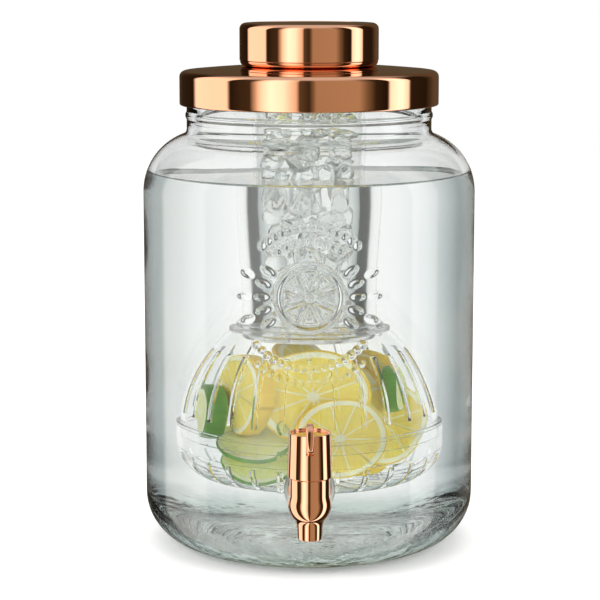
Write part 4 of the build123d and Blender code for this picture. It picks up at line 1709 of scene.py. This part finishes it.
@dataclass(frozen=True)
class Studio:
    """A pale floor, a soft surround and large lamps, with the camera a little above the lid's height.

    The surround is brighter or darker by direction, as a studio with soft panels and dark screens is.
    Bands are (degrees round from the camera's side, brightness), and bright metal shows them as upright
    stripes.
    """

    distance: float = 1.419
    height: float = 0.386
    pitch: float = 8.95
    lens: float = 128.4
    aside: float = -0.006
    floor_size: float = 6.0
    metal_bands: tuple[tuple[float, float], ...] = (
        (-180, 0.10),
        (-150, 0.03),
        (-123, 0.02),
        (-118, 1.60),
        (-77.5, 1.55),
        (-74, 0.02),
        (-62, 0.05),
        (-53, 0.06),
        (-48, 0.75),
        (-43, 1.55),
        (-34, 2.05),
        (-22.5, 1.85),
        (-16, 1.35),
        (-11.5, 1.05),
        (-8.5, 0.12),
        (0, 0.05),
        (4, 0.25),
        (6, 0.46),
        (44, 0.50),
        (52, 0.22),
        (60, 0.04),
        (73, 0.015),
        (76, 1.80),
        (88, 2.20),
        (97, 1.60),
        (100, 0.03),
        (125, 0.02),
        (145, 0.12),
        (180, 0.10),
    )
    metal_tint: Color = (1.0, 0.70, 0.37)
    glass_bands: tuple[tuple[float, float], ...] = (
        (-180, 1.0),
        (-166, 0.99),
        (-161, 0.90),
        (-157.5, 0.80),
        (-153.5, 0.73),
        (-148.5, 0.57),
        (-141.5, 0.35),
        (-130, 0.26),
        (-117, 0.14),
        (-107, 0.14),
        (-97, 0.60),
        (-85, 0.88),
        (-50, 0.97),
        (50, 0.97),
        (85, 0.88),
        (97, 0.60),
        (106, 0.12),
        (114, 0.10),
        (128, 0.28),
        (140, 0.50),
        (147.5, 0.69),
        (153, 0.78),
        (157, 0.85),
        (163.5, 0.94),
        (168, 1.0),
        (180, 1.0),
    )
    glass_tint: Color = (0.80, 1.0, 0.99)
    mirror_bands: tuple[tuple[float, float], ...] = (
        (-180, 1.0),
        (-140, 0.96),
        (-131, 0.04),
        (-102, 0.03),
        (-90, 0.55),
        (-40, 0.92),
        (40, 0.92),
        (90, 0.55),
        (102, 0.03),
        (131, 0.04),
        (140, 0.96),
        (180, 1.0),
    )
    low_level: float = 0.34
    deep_level: float = 0.82
    deep_start: float = 13.0
    fruit_level: float = 3.0
    inside_start: float = 4.5

    def build(self) -> None:
        """Makes the surround, the floor, the lamps and the camera."""
        self.surround()
        self.floor()
        self.lamps()
        self.camera()
        scene = bpy.context.scene
        scene.view_settings.view_transform = "Standard"
        scene.cycles.max_bounces = 28
        scene.cycles.transmission_bounces = 26
        scene.cycles.glossy_bounces = 8
        scene.cycles.transparent_max_bounces = 16
        scene.cycles.caustics_reflective = True
        scene.cycles.caustics_refractive = True
        scene.cycles.use_denoising = True

    def surround(self) -> None:
        """Makes the world: white to the camera, banded to metal and glass, and even to dull surfaces.

        Each kind of ray gets its own light. Metal reads the metal bands. Glass reads the glass bands, or
        the mirror bands once the light has been mirrored on its way, and an even level after many
        refractions. Light that reaches the fruit through several clear surfaces is made stronger, to make
        up for what they take away.
        """
        world = bpy.data.worlds.new("studio")
        bpy.context.scene.world = world
        world.use_nodes = True
        tree = world.node_tree
        tree.nodes.clear()

        def node(kind: str, **settings: object) -> bpy.types.Node:
            """Adds a node with its settings."""
            made = tree.nodes.new(kind)
            for key, value in settings.items():
                setattr(made, key, value)
            return made

        def link(source: bpy.types.NodeSocket, target: bpy.types.NodeSocket) -> None:
            """Joins an output to an input."""
            tree.links.new(source, target)

        direction = node("ShaderNodeTexCoord")
        split = node("ShaderNodeSeparateXYZ")
        link(direction.outputs["Generated"], split.inputs[0])
        backward = node("ShaderNodeMath", operation="MULTIPLY")
        link(split.outputs[1], backward.inputs[0])
        backward.inputs[1].default_value = -1.0
        azimuth = node("ShaderNodeMath", operation="ARCTAN2")
        link(split.outputs[0], azimuth.inputs[0])
        link(backward.outputs[0], azimuth.inputs[1])
        share = node("ShaderNodeMath", operation="MULTIPLY_ADD")
        link(azimuth.outputs[0], share.inputs[0])
        share.inputs[1].default_value = 1 / (2 * math.pi)
        share.inputs[2].default_value = 0.5

        def ramp(bands: Sequence[tuple[float, float]], scale: float, tint: Color) -> bpy.types.NodeSocket:
            """Turns bands into a colour by direction. Dim bands take the tint and bright ones are near
            white."""
            made = node("ShaderNodeValToRGB")
            stops = made.color_ramp.elements
            while len(stops) < len(bands):
                stops.new(0.5)
            for stop, (degrees, value) in zip(stops, bands):
                stop.position = degrees / 360 + 0.5
                level = value / scale
                stop.color = (*(level * (t + (1 - t) * level) for t in tint), 1)
            link(share.outputs[0], made.inputs[0])
            return made.outputs[0]

        def rise(source: bpy.types.NodeSocket, low: float, high: float) -> bpy.types.NodeSocket:
            """A smooth step from 0 at low to 1 at high."""
            made = node("ShaderNodeMapRange", interpolation_type="SMOOTHSTEP")
            link(source, made.inputs["Value"])
            for key, value in (("From Min", low), ("From Max", high)):
                made.inputs[key].default_value = value
            return made.outputs["Result"]

        def blend(
            factor: bpy.types.NodeSocket, first: object, second: object, kind: str
        ) -> bpy.types.NodeSocket:
            """Mixes from first to second by the factor."""
            made = node("ShaderNodeMix", data_type=kind)
            places = (0, 2, 3) if kind == "FLOAT" else (0, 6, 7)
            for index, value in zip(places, (factor, first, second)):
                if isinstance(value, bpy.types.NodeSocket):
                    link(value, made.inputs[index])
                elif kind == "RGBA":
                    made.inputs[index].default_value = (value, value, value, 1.0)
                else:
                    made.inputs[index].default_value = value
            return made.outputs[0 if kind == "FLOAT" else 2]

        brightest = max(value for _, value in self.metal_bands)
        up = split.outputs[2]
        metal = ramp(self.metal_bands, brightest, self.metal_tint)
        metal = blend(rise(up, 0.55, 0.95), metal, 0.75 / brightest, "RGBA")
        glass = blend(rise(up, 0.5, 0.95), ramp(self.glass_bands, 1.0, self.glass_tint), 0.8, "RGBA")
        path = node("ShaderNodeLightPath")
        mirrored = blend(rise(up, 0.5, 0.95), ramp(self.mirror_bands, 1.0, self.glass_tint), 0.8, "RGBA")
        glass = blend(path.outputs["Glossy Depth"], glass, mirrored, "RGBA")
        low = blend(rise(up, -0.62, -0.30), self.low_level, glass, "RGBA")
        deep = rise(path.outputs["Transmission Depth"], self.deep_start, self.deep_start + 4)
        glass = blend(deep, low, self.deep_level, "RGBA")
        glass = blend(path.outputs["Diffuse Depth"], glass, 1.0, "RGBA")
        color = blend(path.outputs["Is Glossy Ray"], 0.92, metal, "RGBA")
        color = blend(path.outputs["Is Transmission Ray"], color, glass, "RGBA")
        color = blend(path.outputs["Is Camera Ray"], color, 1.0, "RGBA")
        strength = blend(path.outputs["Is Glossy Ray"], 1.0, brightest, "FLOAT")
        inside = rise(path.outputs["Transmission Depth"], self.inside_start, self.inside_start + 3)
        level = blend(inside, 1.0, self.fruit_level, "FLOAT")
        through_glass = blend(path.outputs["Diffuse Depth"], 1.0, level, "FLOAT")
        strength = blend(path.outputs["Is Transmission Ray"], strength, through_glass, "FLOAT")
        strength = blend(path.outputs["Is Camera Ray"], strength, 1.0, "FLOAT")
        background = node("ShaderNodeBackground")
        link(color, background.inputs["Color"])
        link(strength, background.inputs["Strength"])
        output = node("ShaderNodeOutputWorld")
        link(background.outputs[0], output.inputs[0])

    def floor(self) -> None:
        """Makes the plain pale floor under the jar."""
        half = self.floor_size / 2
        builder = MeshBuilder()
        steps = np.linspace(-half, half, 5)
        x, y = np.meshgrid(steps, steps)
        builder.grid(np.stack((x, y, np.zeros_like(x)), 2), wrap_columns=False)
        mesh = builder.build("floor")
        nodes = Nodes("floor_white")
        nodes.put(nodes.shader, "Base Color", (0.93, 0.93, 0.93))
        nodes.put(nodes.shader, "Roughness", 0.55)
        nodes.put(nodes.shader, "Specular IOR Level", 0.15)
        nodes.put(nodes.shader, "Emission Color", (1.0, 1.0, 1.0))
        nodes.put(nodes.shader, "Emission Strength", 0.2)
        mesh.materials.append(nodes.material)
        floor = bpy.data.objects.new("floor", mesh)
        floor.visible_glossy = False
        floor.visible_transmission = False
        bpy.context.scene.collection.objects.link(floor)

    def lamps(self) -> None:
        """Makes three large soft lamps that light dull surfaces only."""
        places = (
            ("lamp_left", (-1.3, -0.9, 1.1), 14.0, 1.0),
            ("lamp_right", (1.3, -0.7, 1.0), 9.0, 1.0),
            ("lamp_top", (0.0, 0.1, 1.9), 12.0, 1.6),
        )
        for name, place, energy, size in places:
            light = bpy.data.lights.new(name, "AREA")
            light.energy = energy
            light.size = size
            lamp = bpy.data.objects.new(name, light)
            lamp.location = place
            aim = np.array((0, 0, 0.15)) - np.array(place)
            flat = math.hypot(aim[0], aim[1])
            lamp.rotation_euler = (math.atan2(flat, -aim[2]), 0, math.atan2(aim[1], aim[0]) - math.pi / 2)
            lamp.visible_glossy = False
            lamp.visible_transmission = False
            bpy.context.scene.collection.objects.link(lamp)

    def camera(self) -> None:
        """Makes the camera in front of the jar, pitched down to its middle."""
        data = bpy.data.cameras.new("camera")
        data.lens = self.lens
        data.sensor_width = 36.0
        camera = bpy.data.objects.new("camera", data)
        camera.location = (self.aside, -self.distance, self.height)
        camera.rotation_euler = (math.radians(90 - self.pitch), 0, 0)
        bpy.context.scene.collection.objects.link(camera)
        bpy.context.scene.camera = camera


# ----------------------------------------------------------------------------------------------------
# Putting it together


PACKED_FINISHES = {
    "lid_liner": "white_plastic",
    "lid_seal": "clear_silicone",
    "tube_gasket": "clear_silicone",
    "cap_insert": "white_plastic",
    "cap_seal": "clear_silicone",
    "tap_plug": "white_plastic",
    "plug_seal_lower": "black_rubber",
    "plug_seal_upper": "black_rubber",
    "plug_retainer": "grey_plastic",
    "inner_washer": "clear_silicone",
    "backing_washer": "grey_plastic",
    "tap_nut": "grey_plastic",
}


def finish_packed(materials: dict[str, bpy.types.Material]) -> None:
    """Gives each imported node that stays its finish."""
    for name, finish in PACKED_FINISHES.items():
        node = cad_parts[name]
        for slot in node.material_slots:
            slot.material = materials[finish]


def main() -> None:
    """Builds the whole scene."""
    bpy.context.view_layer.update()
    materials = finishes()
    finish_packed(materials)
    jar, tap, tube = Jar(), Tap(), IceTube()
    add_piece(jar.mesh(), Body.JAR, materials["jar_glass"], ["glass_jar"])
    drink = Drink(jar, tube.bottom_radius, tube.top_radius, tube.flange_top() - tube.flange)
    add_piece(drink.mesh(), Body.JAR, materials["water"])
    add_piece(LidShell().mesh(), Body.LID, materials["copper_metal"], ["lid_shell"])
    add_piece(Collar().mesh(), Body.LID, materials["copper_metal"], ["lid_collar"])
    add_piece(CapShell().mesh(), Body.CAP, materials["copper_metal"], ["cap_shell"])
    add_piece(tube.mesh(), Body.LID, materials["clear_plastic"], ["ice_tube"])
    add_piece(Ice(tube).mesh(), Body.LID, materials["ice"])
    dome, bowl = InfuserDome(), InfuserBowl()
    add_piece(dome.mesh(), Body.INFUSER, materials["infuser_plastic"], ["infuser_dome"])
    add_piece(bowl.mesh(), Body.BOWL, materials["infuser_plastic"], ["infuser_bowl"])
    for number, piece in enumerate(fruit(), 1):
        kind = piece.kind.name.lower()
        add_piece(piece.mesh(f"{kind}_slice_{number:02d}"), piece.body, materials[f"{kind}_flesh"])
    add_piece(tap.mesh(jar), Body.JAR, materials["copper_plastic"], ["tap_body"])
    add_piece(tap.washer_mesh(jar), Body.JAR, materials["clear_silicone"], ["outer_washer"])
    handle = TapHandle().mesh(tap.axis)
    add_piece(handle, Body.TAP_HANDLE, materials["copper_plastic"], ["tap_handle"])
    Studio().build()


if __name__ == "__main__":
    main()
